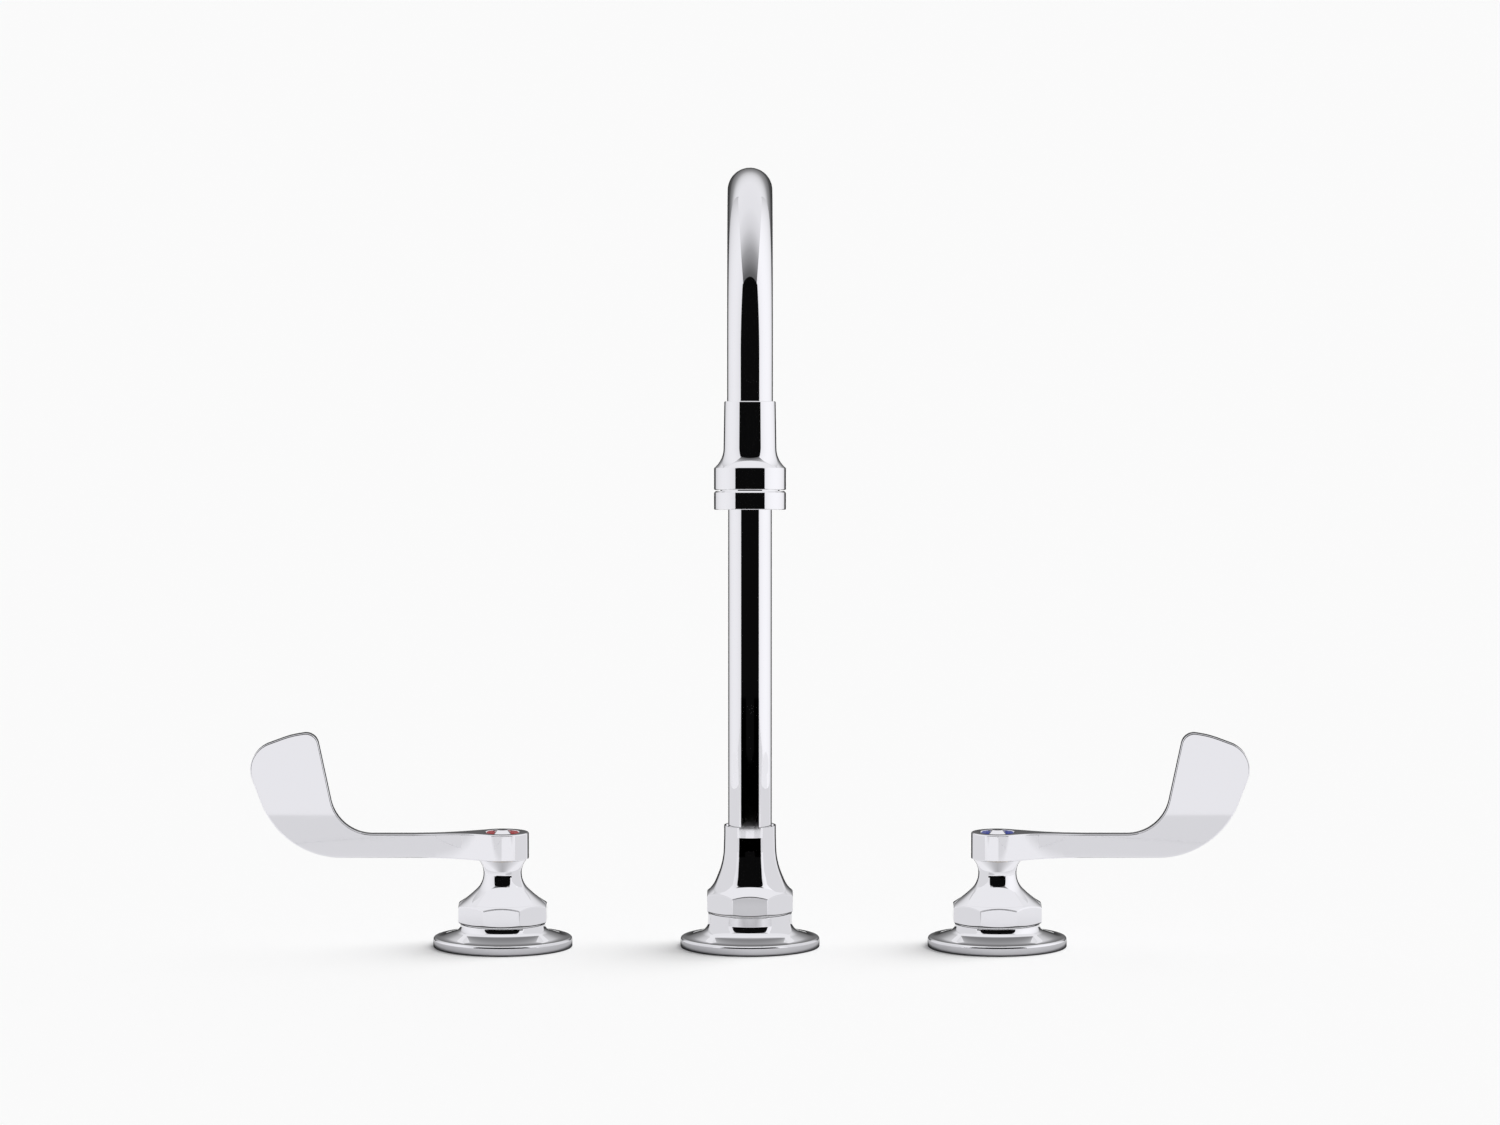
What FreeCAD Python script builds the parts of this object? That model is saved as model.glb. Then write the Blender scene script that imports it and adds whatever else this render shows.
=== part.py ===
"""Widespread basin faucet: two quarter-turn lever valves and a swivelling gooseneck spout.

Millimetres, +Z up. The deck is the plane z = 0 and the spout's riser stands on x = y = 0, reaching
towards -Y. The hot valve is on the -X side and the cold valve on the +X side. Above the deck each unit
has an escutcheon and an eight-sided bonnet; below it, brass bodies are clamped by nuts and joined by
rigid crossover tubes. Each piece is a separate solid, written to parts/NAME.step.
"""
import FreeCAD
import Part
import math
import os

Vector = FreeCAD.Vector
UP = Vector(0, 0, 1)
ORIGIN = Vector(0, 0, 0)

# Layout
valve_spacing = 203.2
deck_thickness = 18.0

# Clearances
thread_gap = 0.1
slip_gap = 0.1
seal_gap = 0.05
passing_gap = 0.3
seat_gap = 0.1
handle_gap = 0.35

# Threaded barrels that pass through the deck
barrel_radius = 15.1
barrel_chamfer = 0.8
valve_barrel_height = 14.0
spout_barrel_height = 22.0

# Escutcheons
flange_radius = 28.575
rim_height = 4.1
rim_round = 1.0
foot_round = 0.4
neck_edge_round = 0.3
valve_neck_radius = 17.4
valve_neck_height = 9.5
valve_neck_fillet = 5.0
spout_neck_radius = 17.2
spout_neck_height = 14.1
spout_neck_fillet = 5.6
escutcheon_play = 0.5
gasket_inner_radius = 19.5
gasket_outer_radius = 25.5
gasket_thickness = 1.5

# Eight-sided bonnets. The spout's heights are measured from the top of its barrel.
bonnet_sides = 8
land_inset = 1.6
land_height = 0.4
foot_chamfer = 0.8
valve_flats = 36.0
valve_rim_height = 17.1
valve_flare_radius = 14.6
valve_flare_height = 20.0
valve_flare_arc = 46.0
valve_waist_radius = 7.8
valve_waist_low = 26.8
valve_waist_low_arc = 7.4
valve_waist_high = 33.3
valve_waist_high_arc = 9.5
valve_collar_radius = 9.95
valve_bonnet_height = 36.0
spout_flats = 35.1
spout_rim_drop = 0.1
spout_flare_radius = 15.5
spout_flare_rise = 2.2
spout_flare_arc = 12.0
spout_throat_radius = 11.33
spout_throat_rise = 12.35
spout_throat_arc = 36.0
spout_collar_radius = 10.75
spout_bonnet_rise = 28.3
spout_recess_radius = 10.2
spout_recess_depth = 1.2

# Bodies below the deck
block_size = 36.0
block_height = 20.0
block_round = 4.0
port_depth = 53.0
port_bore_radius = 3.6
boss_radius = 7.14
boss_length = 10.0
inlet_radius = 10.45
inlet_length = 16.0
inlet_bore_radius = 4.2
inlet_end_chamfer = 1.0
spout_waterway_radius = 7.0

# Clamping hardware
cushion_radius = 22.0
cushion_thickness = 3.0
clamp_washer_radius = 21.0
clamp_washer_thickness = 1.6
clamp_nut_flats = 38.0
clamp_nut_thickness = 7.0
corner_chamfer_angle = 30.0

# Crossover tubes and their compression joints
crossover_radius = 4.76
crossover_wall = 0.8
crossover_insert = 6.0
sleeve_radius = 6.2
sleeve_length = 6.4
sleeve_cone = 1.4
compression_nut_flats = 17.5
compression_nut_length = 14.0
compression_nut_wall = 2.4

# Ceramic cartridge
chamber_radius = 11.0
chamber_depth = 12.0
channel_radius = 2.5
channel_rise = 8.0
cage_radius = 9.4
cage_wall = 1.2
cage_clearance = 1.0
cage_top_depth = 0.8
window_width = 9.0
window_height = 4.4
seat_seal_height = 3.0
seat_seal_radius = 7.6
seat_seal_bore = 4.4
fixed_disc_thickness = 3.0
moving_disc_thickness = 2.5
port_inner_radius = 2.2
port_outer_radius = 6.0
port_angle = 76.0
key_width = 2.4
gland_flats = 20.0
gland_height = 4.5
guide_radius = 6.3
guide_height = 5.0
cartridge_ring_section = 1.8
cartridge_ring_height = 4.0

# Valve stem
stem_radius = 4.4
stem_flange_radius = 7.8
stem_flange_thickness = 2.4
tongue_length = 11.0
tongue_width = 3.2
tongue_height = 1.2
clip_groove_radius = 3.9
spline_teeth = 20
spline_tip_radius = 4.2
spline_root_radius = 3.75
spline_length = 6.0
stem_ring_section = 1.6
stem_ring_heights = (7.0, 11.0)
clip_radius = 5.9
clip_thickness = 0.8
clip_opening = 5.2
clip_lift = 0.15

# Lever handle: hub, arm and the blade that turns up at its end. Each blade corner is its distance from
# the valve's axis, its height above the underside of the arm and the radius of its arc.
hub_radius = 10.8
hub_height = 10.95
hub_sweep = 42.0
arm_thickness = 5.6
arm_inset = 0.6
arm_height = 9.75
arm_taper_end = 32.0
arm_taper_arc = 250.0
lever_edge_round = 0.5
blade_heel = (90.3, 0.0, 35.0)
blade_outer_corner = (106.6, 43.2, 11.6)
blade_crown = (86.7, 50.5, 36.0)
blade_inner_corner = (76.3, 52.2, 5.3)
blade_root_distance = 67.4
blade_root_arc = 17.5
button_pocket_radius = 7.2
button_pocket_depth = 1.8
screw_pocket_radius = 4.1
screw_pocket_depth = 2.2
hub_web = 1.3

# Handle screw and index button
screw_radius = 1.95
screw_head_radius = 3.7
screw_head_height = 1.9
screw_length = 10.0
screw_slot_width = 1.0
screw_slot_depth = 0.9
index_ring_thickness = 0.6
button_radius = 3.9
button_top_radius = 2.1
button_rise = 0.9

# Gooseneck tube
tube_radius = 8.9
tube_wall = 1.2
arch_radius = 65.0
arch_height = 249.0
outlet_lean = 5.4
outlet_leg = 38.1

# Swivel joint at the foot of the gooseneck
socket_radius = 11.6
swivel_depth = 18.0
swivel_flange_radius = 13.0
swivel_flange_thickness = 2.0
swivel_floor_thickness = 2.0
swivel_ring_section = 1.5
swivel_ring_depths = (6.0, 11.0)
thrust_washer_thickness = 1.2

# Outlet adapter and aerator
adapter_insert = 18.0
adapter_length = 34.5
adapter_mouth_radius = 10.0
adapter_throat_radius = 10.35
adapter_throat_depth = 22.7
adapter_flare_arc = 10.0
adapter_rim_radius = 14.0
adapter_rim_height = 8.5
adapter_edge_round = 0.4
adapter_thread_radius = 11.6
adapter_thread_depth = 7.5
housing_gap = 0.4
housing_height = 7.3
housing_shoulder = 0.7
housing_thread_length = 5.0
housing_bore_radius = 10.2
housing_lip_radius = 9.3
housing_lip_thickness = 1.4
insert_wall = 1.0
insert_flange_thickness = 1.5
insert_floor_thickness = 1.6
screen_recess = 0.6
nozzle_rings = 3
nozzle_pitch = 2.5
nozzle_radius = 0.8


def sine(degrees):
    return math.sin(math.radians(degrees))


def cosine(degrees):
    return math.cos(math.radians(degrees))


def tangent(degrees):
    return math.tan(math.radians(degrees))


def corner_arcs(spots, radii):
    """Tangent lengths of the corner arcs, shortened where two arcs share a short side."""
    turns = []
    for i, spot in enumerate(spots):
        back = spots[i - 1] - spot
        ahead = spots[(i + 1) % len(spots)] - spot
        turns.append(back.getAngle(ahead))
    lengths = [radius / math.tan(turn / 2) for radius, turn in zip(radii, turns)]
    limited = lengths[:]
    for i in range(len(spots)):
        side = (spots[i] - spots[i - 1]).Length
        wanted = lengths[i - 1] + lengths[i]
        if wanted > side:
            for j in (i - 1, i):
                limited[j] = min(limited[j], lengths[j] * side / wanted)
    return limited


def outline(points, place=lambda a, b: Vector(a, 0, b)):
    """A closed wire through points (a, b); a third number rounds that corner with its radius."""
    spots = [place(point[0], point[1]) for point in points]
    radii = [point[2] if len(point) > 2 else 0 for point in points]
    edges = []
    previous = None
    first = None
    for i, length in enumerate(corner_arcs(spots, radii)):
        spot = spots[i]
        entry = leave = spot
        if length > 0:
            back = (spots[i - 1] - spot).normalize()
            ahead = (spots[(i + 1) % len(spots)] - spot).normalize()
            entry = spot + back * length
            leave = spot + ahead * length
        if previous and previous.distanceToPoint(entry) > 1e-6:
            edges.append(Part.LineSegment(previous, entry).toShape())
        if length > 0:
            half = back.getAngle(ahead) / 2
            reach = length / math.cos(half) - length * math.tan(half)
            middle = spot + (back + ahead).normalize() * reach
            edges.append(Part.Arc(entry, middle, leave).toShape())
        first = first or entry
        previous = leave
    if previous.distanceToPoint(first) > 1e-6:
        edges.append(Part.LineSegment(previous, first).toShape())
    return Part.Wire(edges)


def turned(points):
    """A solid of revolution about Z from an outline of (radius, height) points."""
    return Part.Face(outline(points)).revolve(ORIGIN, UP, 360)


def cylinder(radius, bottom, top):
    return Part.makeCylinder(radius, top - bottom, Vector(0, 0, bottom))


def ring(outer, inner, bottom, top):
    """A flat ring or a straight tube about Z."""
    return cylinder(outer, bottom, top).cut(cylinder(inner, bottom, top))


def turned_about_z(shape, angle):
    copy = shape.copy()
    copy.rotate(ORIGIN, UP, angle)
    return copy


def prism(sides, across_flats, bottom, top):
    """A regular prism about Z with a flat side facing each way along Y."""
    corner = across_flats / 2 / cosine(180 / sides)
    step = 360 / sides
    spots = []
    for i in range(sides):
        angle = step * (i + 0.5)
        spots.append(Vector(corner * sine(angle), corner * cosine(angle), bottom))
    face = Part.Face(Part.makePolygon(spots + spots[:1]))
    return face.extrude(Vector(0, 0, top - bottom))


def o_ring(outer_radius, section, height):
    """An O-ring about Z whose round section has the given diameter."""
    return Part.makeTorus(outer_radius - section / 2, section / 2, Vector(0, 0, height), UP)


def along_x(shape):
    """A shape made along +Z, laid along +X at the depth of the crossover ports."""
    laid = shape.copy()
    laid.rotate(ORIGIN, Vector(0, 1, 0), 90)
    laid.translate(Vector(0, 0, -port_depth))
    return laid


def hex_nut(across_flats, bore, bottom, top):
    """A hexagonal nut with its corners turned off at both faces."""
    corner = across_flats / 2 / cosine(30)
    turn = (corner - across_flats / 2) * tangent(corner_chamfer_angle)
    blank = turned([
        (bore, bottom), (across_flats / 2, bottom), (corner, bottom + turn),
        (corner, top - turn), (across_flats / 2, top), (bore, top),
    ])
    return blank.common(prism(6, across_flats, bottom, top))


# Escutcheons, gaskets and clamping hardware
def escutcheon(neck_radius, neck_height, neck_fillet):
    """A flanged cover ring with a groove for its gasket in the underside."""
    bore = barrel_radius + escutcheon_play
    body = turned([
        (bore, 0), (flange_radius, 0, foot_round), (flange_radius, rim_height, rim_round),
        (neck_radius, rim_height, neck_fillet), (neck_radius, neck_height, neck_edge_round),
        (bore, neck_height),
    ])
    return body.cut(ring(gasket_outer_radius, gasket_inner_radius, 0, gasket_thickness))


def escutcheon_gasket():
    return ring(gasket_outer_radius - slip_gap, gasket_inner_radius + slip_gap, 0, gasket_thickness)


def cushion_washer():
    top = -deck_thickness
    return ring(cushion_radius, barrel_radius + passing_gap, top - cushion_thickness, top)


def clamp_washer():
    top = -deck_thickness - cushion_thickness
    return ring(clamp_washer_radius, barrel_radius + passing_gap, top - clamp_washer_thickness, top)


def mounting_nut():
    top = -deck_thickness - cushion_thickness - clamp_washer_thickness
    return hex_nut(clamp_nut_flats, barrel_radius + thread_gap, top - clamp_nut_thickness, top)


# Bonnets
def bonnet(across_flats, neck_height, bell, hollow):
    """A turned bell with its flats milled on, so the flare ends in a scallop over each flat."""
    corner = across_flats / 2 / cosine(180 / bonnet_sides)
    foot = neck_height + land_height
    land = across_flats / 2 - land_inset
    blank = turned([
        (barrel_radius + thread_gap, neck_height), (land, neck_height), (land, foot),
        (across_flats / 2 - foot_chamfer, foot), (corner, foot + foot_chamfer),
        *bell,
        *hollow,
    ])
    top = bell[-1][1]
    return blank.common(prism(bonnet_sides, across_flats, neck_height, top))


def gland_top():
    """Height of the top of the cartridge's hexagon."""
    return valve_barrel_height + gland_height


def guide_top():
    """Height of the top of the cartridge's stem guide."""
    return gland_top() + guide_height


def valve_bonnet():
    """The waisted bell that covers a cartridge and carries the wrench flats."""
    corner = valve_flats / 2 / cosine(180 / bonnet_sides)
    stem_bore = stem_radius + 2 * passing_gap
    guide_bore = max(guide_radius, clip_radius) + passing_gap
    gland_bore = gland_flats / 2 / cosine(30) + passing_gap
    guide_roof = guide_top() + clip_thickness + 2 * passing_gap
    return bonnet(valve_flats, valve_neck_height, [
        (corner, valve_rim_height),
        (valve_flare_radius, valve_flare_height, valve_flare_arc),
        (valve_waist_radius, valve_waist_low, valve_waist_low_arc),
        (valve_waist_radius, valve_waist_high, valve_waist_high_arc),
        (valve_collar_radius, valve_bonnet_height),
    ], [
        (stem_bore, valve_bonnet_height), (stem_bore, guide_roof),
        (guide_bore, guide_roof), (guide_bore, gland_top() + passing_gap),
        (gland_bore, gland_top() + passing_gap), (gland_bore, valve_barrel_height + passing_gap),
        (barrel_radius + thread_gap, valve_barrel_height + passing_gap),
    ])


def washer_top():
    """Height of the upper face of the thrust washer that the spout bonnet holds down."""
    return spout_barrel_height + seat_gap + swivel_flange_thickness + thrust_washer_thickness


def spout_bonnet():
    """The bell that holds the gooseneck's swivel joint down on its barrel."""
    corner = spout_flats / 2 / cosine(180 / bonnet_sides)
    tube_bore = tube_radius + passing_gap
    flange_bore = swivel_flange_radius + passing_gap
    ceiling = washer_top() + seat_gap
    seat = spout_barrel_height
    top = seat + spout_bonnet_rise
    recess_floor = top - spout_recess_depth
    return bonnet(spout_flats, spout_neck_height, [
        (corner, seat - spout_rim_drop),
        (spout_flare_radius, seat + spout_flare_rise, spout_flare_arc),
        (spout_throat_radius, seat + spout_throat_rise, spout_throat_arc),
        (spout_collar_radius, top),
    ], [
        (spout_recess_radius, top), (spout_recess_radius, recess_floor),
        (tube_bore, recess_floor), (tube_bore, ceiling),
        (flange_bore, ceiling), (flange_bore, spout_barrel_height + passing_gap),
        (barrel_radius + thread_gap, spout_barrel_height + passing_gap),
    ])


# Brass bodies below the deck
def boss_reach():
    """Distance from a body's axis to the end of its threaded side boss."""
    return block_size / 2 + boss_length


def block():
    """The square casting at the foot of a barrel, centred on the crossover ports."""
    half = block_size / 2
    bottom = -port_depth - block_height / 2
    corners = [
        (-half, -half, block_round), (half, -half, block_round),
        (half, half, block_round), (-half, half, block_round),
    ]
    face = Part.Face(outline(corners, lambda a, b: Vector(a, b, bottom)))
    return face.extrude(Vector(0, 0, block_height))


def barrel(top):
    """A threaded barrel that stands on the casting, with its upper edge chamfered."""
    return turned([
        (0, -port_depth), (barrel_radius, -port_depth), (barrel_radius, top - barrel_chamfer),
        (barrel_radius - barrel_chamfer, top), (0, top),
    ])


def side_boss():
    return along_x(cylinder(boss_radius, 0, boss_reach()))


def boss_socket():
    """The socket that takes the end of a crossover tube and the cone of its sleeve."""
    mouth = boss_reach()
    bore = crossover_radius + slip_gap
    straight = cylinder(bore, mouth - crossover_insert - slip_gap, mouth)
    cone = Part.makeCone(bore, sleeve_radius + slip_gap, sleeve_cone, Vector(0, 0, mouth - sleeve_cone))
    return along_x(straight.fuse(cone))


def inlet_tail(end, top):
    """The threaded tail that takes a supply hose, with its end chamfered."""
    return turned([
        (0, end), (inlet_radius - inlet_end_chamfer, end), (inlet_radius, end + inlet_end_chamfer),
        (inlet_radius, top), (0, top),
    ])


def valve_body():
    """A valve's brass body, with its outlet boss along +X and its inlet thread pointing down."""
    block_bottom = -port_depth - block_height / 2
    inlet_end = block_bottom - inlet_length
    body = barrel(valve_barrel_height).fuse([
        block(), side_boss(), inlet_tail(inlet_end, block_bottom),
    ])
    channel_top = -chamber_depth + channel_rise
    channel_foot = Vector(chamber_radius, 0, -port_depth)
    return body.cut([
        cylinder(chamber_radius, -chamber_depth, valve_barrel_height),
        cylinder(inlet_bore_radius, inlet_end, -chamber_depth),
        Part.makeCylinder(channel_radius, port_depth + channel_top, channel_foot),
        along_x(cylinder(port_bore_radius, chamber_radius, boss_reach())),
        boss_socket(),
    ]).removeSplitter()


def spout_body():
    """The spout's barrel, with a tee at its foot and the swivel socket at its top."""
    body = barrel(spout_barrel_height).fuse([
        block(), side_boss(), turned_about_z(side_boss(), 180),
    ])
    socket_floor = spout_barrel_height - swivel_depth
    return body.cut([
        cylinder(socket_radius, socket_floor, spout_barrel_height),
        cylinder(spout_waterway_radius, -port_depth, spout_barrel_height),
        along_x(cylinder(port_bore_radius, -boss_reach(), boss_reach())),
        boss_socket(), turned_about_z(boss_socket(), 180),
    ]).removeSplitter()


# Crossover tube and its compression joints, laid along +X from a valve's axis to the spout
def crossover_tube():
    near = boss_reach() - crossover_insert
    far = valve_spacing / 2 - near
    return along_x(ring(crossover_radius, crossover_radius - crossover_wall, near, far))


def compression_sleeve():
    """The olive: a ring with a cone at each end, made along +Z from height 0."""
    bore = crossover_radius + seal_gap
    tip = crossover_radius + 2 * slip_gap
    return turned([
        (bore, 0), (tip, 0), (sleeve_radius, sleeve_cone),
        (sleeve_radius, sleeve_length - sleeve_cone), (tip, sleeve_length), (bore, sleeve_length),
    ])


def compression_nut():
    """A nut made along +Z whose closed end stands on top; its floor lies on the sleeve."""
    corner = compression_nut_flats / 2 / cosine(30)
    turn = (corner - compression_nut_flats / 2) * tangent(corner_chamfer_angle)
    thread_bore = boss_radius + thread_gap
    tube_bore = crossover_radius + slip_gap
    floor = sleeve_length - sleeve_cone + 2 * slip_gap
    top = floor + compression_nut_wall
    bottom = top - compression_nut_length
    flat = compression_nut_flats / 2
    blank = turned([
        (thread_bore, bottom), (flat, bottom), (corner, bottom + turn), (corner, top - turn),
        (flat, top), (tube_bore, top), (tube_bore, floor), (thread_bore, floor),
    ])
    return blank.common(prism(6, compression_nut_flats, bottom, top))


def at_both_ends(piece, start):
    """A piece of a compression joint at the valve's boss, and its twin at the spout's boss."""
    near = piece.copy()
    near.translate(Vector(0, 0, start))
    far = piece.copy()
    far.rotate(ORIGIN, Vector(1, 0, 0), 180)
    far.translate(Vector(0, 0, valve_spacing / 2 - start))
    return Part.Compound([along_x(near), along_x(far)])


def compression_sleeves():
    return at_both_ends(compression_sleeve(), boss_reach() - sleeve_cone + slip_gap)


def compression_nuts():
    return at_both_ends(compression_nut(), boss_reach())


# Ceramic cartridge
def seal_top():
    return -chamber_depth + seat_seal_height


def fixed_disc_top():
    return seal_top() + fixed_disc_thickness


def moving_disc_bottom():
    return fixed_disc_top() + seal_gap


def moving_disc_top():
    return moving_disc_bottom() + moving_disc_thickness


def cage_bore():
    return cage_radius - cage_wall


def disc_radius():
    return cage_bore() - 2 * slip_gap


def sector(inner, outer, bottom, top, middle_angle):
    """A sector of a ring, centred on an angle."""
    angles = [middle_angle - port_angle / 2, middle_angle, middle_angle + port_angle / 2]
    near = [Vector(inner * cosine(a), inner * sine(a), bottom) for a in angles]
    far = [Vector(outer * cosine(a), outer * sine(a), bottom) for a in reversed(angles)]
    wire = Part.Wire([
        Part.Arc(*near).toShape(),
        Part.LineSegment(near[2], far[0]).toShape(),
        Part.Arc(*far).toShape(),
        Part.LineSegment(far[2], near[0]).toShape(),
    ])
    return Part.Face(wire).extrude(Vector(0, 0, top - bottom))


def bar(length, width, bottom, top):
    """A bar along X, centred on the axis."""
    return Part.makeBox(length, width, top - bottom, Vector(-length / 2, -width / 2, bottom))


def seat_seal():
    return ring(seat_seal_radius, seat_seal_bore, -chamber_depth, seal_top())


def fixed_disc():
    """The ported disc, keyed to the cage by two lugs."""
    bottom, top = seal_top(), fixed_disc_top()
    lugs = turned_about_z(bar(2 * cage_radius, key_width - 2 * slip_gap, bottom, top), 90)
    disc = cylinder(disc_radius(), bottom, top).fuse(lugs.common(cylinder(cage_radius, bottom, top)))
    ports = [sector(port_inner_radius, port_outer_radius, bottom, top, side) for side in (0, 180)]
    return disc.cut(ports).removeSplitter()


def moving_disc():
    """The disc that the stem turns; its two open notches stand across the ports while it is shut."""
    bottom, top = moving_disc_bottom(), moving_disc_top()
    notches = [sector(port_inner_radius, 2 * cage_radius, bottom, top, side) for side in (90, 270)]
    slot = bar(tongue_length + 2 * slip_gap, tongue_width + 2 * slip_gap, top - tongue_height - slip_gap, top)
    return cylinder(disc_radius(), bottom, top).cut([*notches, slot])


def cartridge_body():
    """The windowed cage, threaded plug, hexagon and stem guide in one turned piece."""
    plug_radius = chamber_radius - thread_gap
    groove_radius = chamber_radius - cartridge_ring_section
    groove_low = cartridge_ring_height - cartridge_ring_section / 2 - seal_gap
    groove_high = cartridge_ring_height + cartridge_ring_section / 2 + seal_gap
    cage_bottom = -chamber_depth + cage_clearance
    bore = stem_radius + slip_gap
    blank = turned([
        (cage_bore(), cage_bottom), (cage_radius, cage_bottom), (cage_radius, -cage_top_depth),
        (plug_radius, -cage_top_depth), (plug_radius, groove_low),
        (groove_radius, groove_low), (groove_radius, groove_high), (plug_radius, groove_high),
        (plug_radius, valve_barrel_height), (guide_radius, valve_barrel_height),
        (guide_radius, guide_top()), (bore, guide_top()), (bore, -cage_top_depth),
        (cage_bore(), -cage_top_depth),
    ])
    gland = hex_nut(gland_flats, bore, valve_barrel_height, gland_top())
    across = 3 * cage_radius
    windows = bar(across, window_width, fixed_disc_top(), fixed_disc_top() + window_height)
    key_slots = turned_about_z(bar(across, key_width, cage_bottom, fixed_disc_top()), 90)
    return blank.fuse(gland).cut([windows, key_slots]).removeSplitter()


def cartridge_o_ring():
    return o_ring(chamber_radius - seal_gap, cartridge_ring_section - 2 * seal_gap, cartridge_ring_height)


# Valve stem
def lever_bottom():
    return valve_bonnet_height + handle_gap


def lever_top():
    return lever_bottom() + hub_height


def button_floor():
    return lever_top() - button_pocket_depth


def screw_seat():
    return button_floor() - screw_pocket_depth


def stem_end():
    """Height of the splined end, just below the roof of the hub's socket."""
    return screw_seat() - hub_web - slip_gap


def splines(tip_radius, root_radius, bottom, top):
    """A toothed bar about Z."""
    step = 180 / spline_teeth
    corners = []
    for i in range(2 * spline_teeth):
        radius = root_radius if i % 2 else tip_radius
        corners.append(Vector(radius * cosine(step * i), radius * sine(step * i), bottom))
    face = Part.Face(Part.makePolygon(corners + corners[:1]))
    return face.extrude(Vector(0, 0, top - bottom))


def stem():
    """The brass spindle: drive tongue, flange, ringed shaft and splined end with a screw hole."""
    flange_bottom = moving_disc_top() + slip_gap
    flange_top = flange_bottom + stem_flange_thickness
    groove_radius = stem_radius + slip_gap - stem_ring_section
    points = [
        (0, flange_bottom), (stem_flange_radius, flange_bottom),
        (stem_flange_radius, flange_top), (stem_radius, flange_top),
    ]
    for height in stem_ring_heights:
        low = height - stem_ring_section / 2 - seal_gap
        high = height + stem_ring_section / 2 + seal_gap
        points += [(stem_radius, low), (groove_radius, low), (groove_radius, high), (stem_radius, high)]
    clip_low = guide_top() + slip_gap
    clip_high = clip_low + clip_thickness + slip_gap
    points += [
        (stem_radius, clip_low), (clip_groove_radius, clip_low),
        (clip_groove_radius, clip_high), (spline_tip_radius, clip_high),
        (spline_tip_radius, stem_end() - spline_length), (0, stem_end() - spline_length),
    ]
    drive = bar(tongue_length, tongue_width, moving_disc_top() - tongue_height, flange_bottom)
    toothed = splines(spline_tip_radius, spline_root_radius, stem_end() - spline_length, stem_end())
    hole = cylinder(screw_radius + thread_gap, screw_seat() - screw_length - slip_gap, stem_end())
    return turned(points).fuse([drive, toothed]).cut(hole).removeSplitter()


def stem_o_rings():
    outer = stem_radius + slip_gap - seal_gap
    return Part.Compound([o_ring(outer, stem_ring_section - 2 * seal_gap, h) for h in stem_ring_heights])


def stem_clip():
    """The open ring that keeps the stem down in its guide."""
    bottom = guide_top() + clip_lift
    whole = ring(clip_radius, clip_groove_radius + seal_gap, bottom, bottom + clip_thickness)
    gap = Part.makeBox(clip_radius, clip_opening, clip_thickness, Vector(0, -clip_opening / 2, bottom))
    return whole.cut(gap)


# Lever handle, pointing along +X from the valve's axis
def lever_side():
    """The lever seen from the side: hub, tapering arm and upturned blade."""
    arm_bottom = lever_bottom() + arm_inset
    arm_top = arm_bottom + arm_height
    past_hub = 2 * hub_radius
    corners = [(x, arm_bottom + z, arc) for x, z, arc in
               (blade_heel, blade_outer_corner, blade_crown, blade_inner_corner)]
    face = Part.Face(outline([
        (-past_hub, lever_bottom()), (hub_radius, lever_bottom(), arm_taper_arc),
        (arm_taper_end, arm_bottom, arm_taper_arc), *corners,
        (blade_root_distance, arm_top, blade_root_arc), (arm_taper_end, arm_top, arm_taper_arc),
        (hub_radius, lever_top(), arm_taper_arc), (-past_hub, lever_top()),
    ]))
    side = face.extrude(Vector(0, 2 * past_hub, 0))
    side.translate(Vector(0, -past_hub, 0))
    return side


def lever_plan():
    """The lever seen from above: a round hub that sweeps into a flat bar."""
    half = arm_thickness / 2
    run = math.sqrt((hub_radius - half) * (hub_radius + half + 2 * hub_sweep))
    rise = half + hub_sweep
    meet = hub_radius / (hub_radius + hub_sweep)
    middle = Vector(-run, -rise, 0).normalize() + Vector(0, -1, 0)
    middle = Vector(run, rise, 0) + middle.normalize() * hub_sweep
    end = 2 * blade_outer_corner[0]

    def mirrored(spot):
        return Vector(spot.x, -spot.y, 0)

    start = Vector(run * meet, rise * meet, 0)
    straight = Vector(run, half, 0)
    tip = Vector(end, half, 0)
    wire = Part.Wire([
        Part.Arc(mirrored(start), Vector(-hub_radius, 0, 0), start).toShape(),
        Part.Arc(start, middle, straight).toShape(),
        Part.LineSegment(straight, tip).toShape(),
        Part.LineSegment(tip, mirrored(tip)).toShape(),
        Part.LineSegment(mirrored(tip), mirrored(straight)).toShape(),
        Part.Arc(mirrored(straight), mirrored(middle), mirrored(start)).toShape(),
    ])
    return Part.Face(wire).extrude(Vector(0, 0, lever_bottom() + 2 * blade_inner_corner[1]))


def lever():
    """The blade handle, with its edges rounded, a splined socket below and pockets above."""
    blank = lever_side().common(lever_plan())
    edges = [edge for edge in blank.Edges if is_outer_edge(edge)]
    blank = blank.makeFillet(lever_edge_round, edges)
    gap = slip_gap
    socket = splines(spline_tip_radius + gap, spline_root_radius + gap, lever_bottom(), stem_end() + gap)
    return blank.cut([
        socket,
        cylinder(button_pocket_radius, button_floor(), lever_top()),
        cylinder(screw_pocket_radius, screw_seat(), lever_top()),
        cylinder(screw_radius + thread_gap, lever_bottom(), lever_top()),
    ])


def is_outer_edge(edge):
    """Whether an edge lies between a side face and the narrow faces round the lever's outline."""
    ends = [vertex.Point for vertex in edge.Vertexes]
    return len(ends) < 2 or abs(ends[0].y + ends[1].y) > 1e-3 or abs(ends[0].y) < 1e-3


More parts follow.
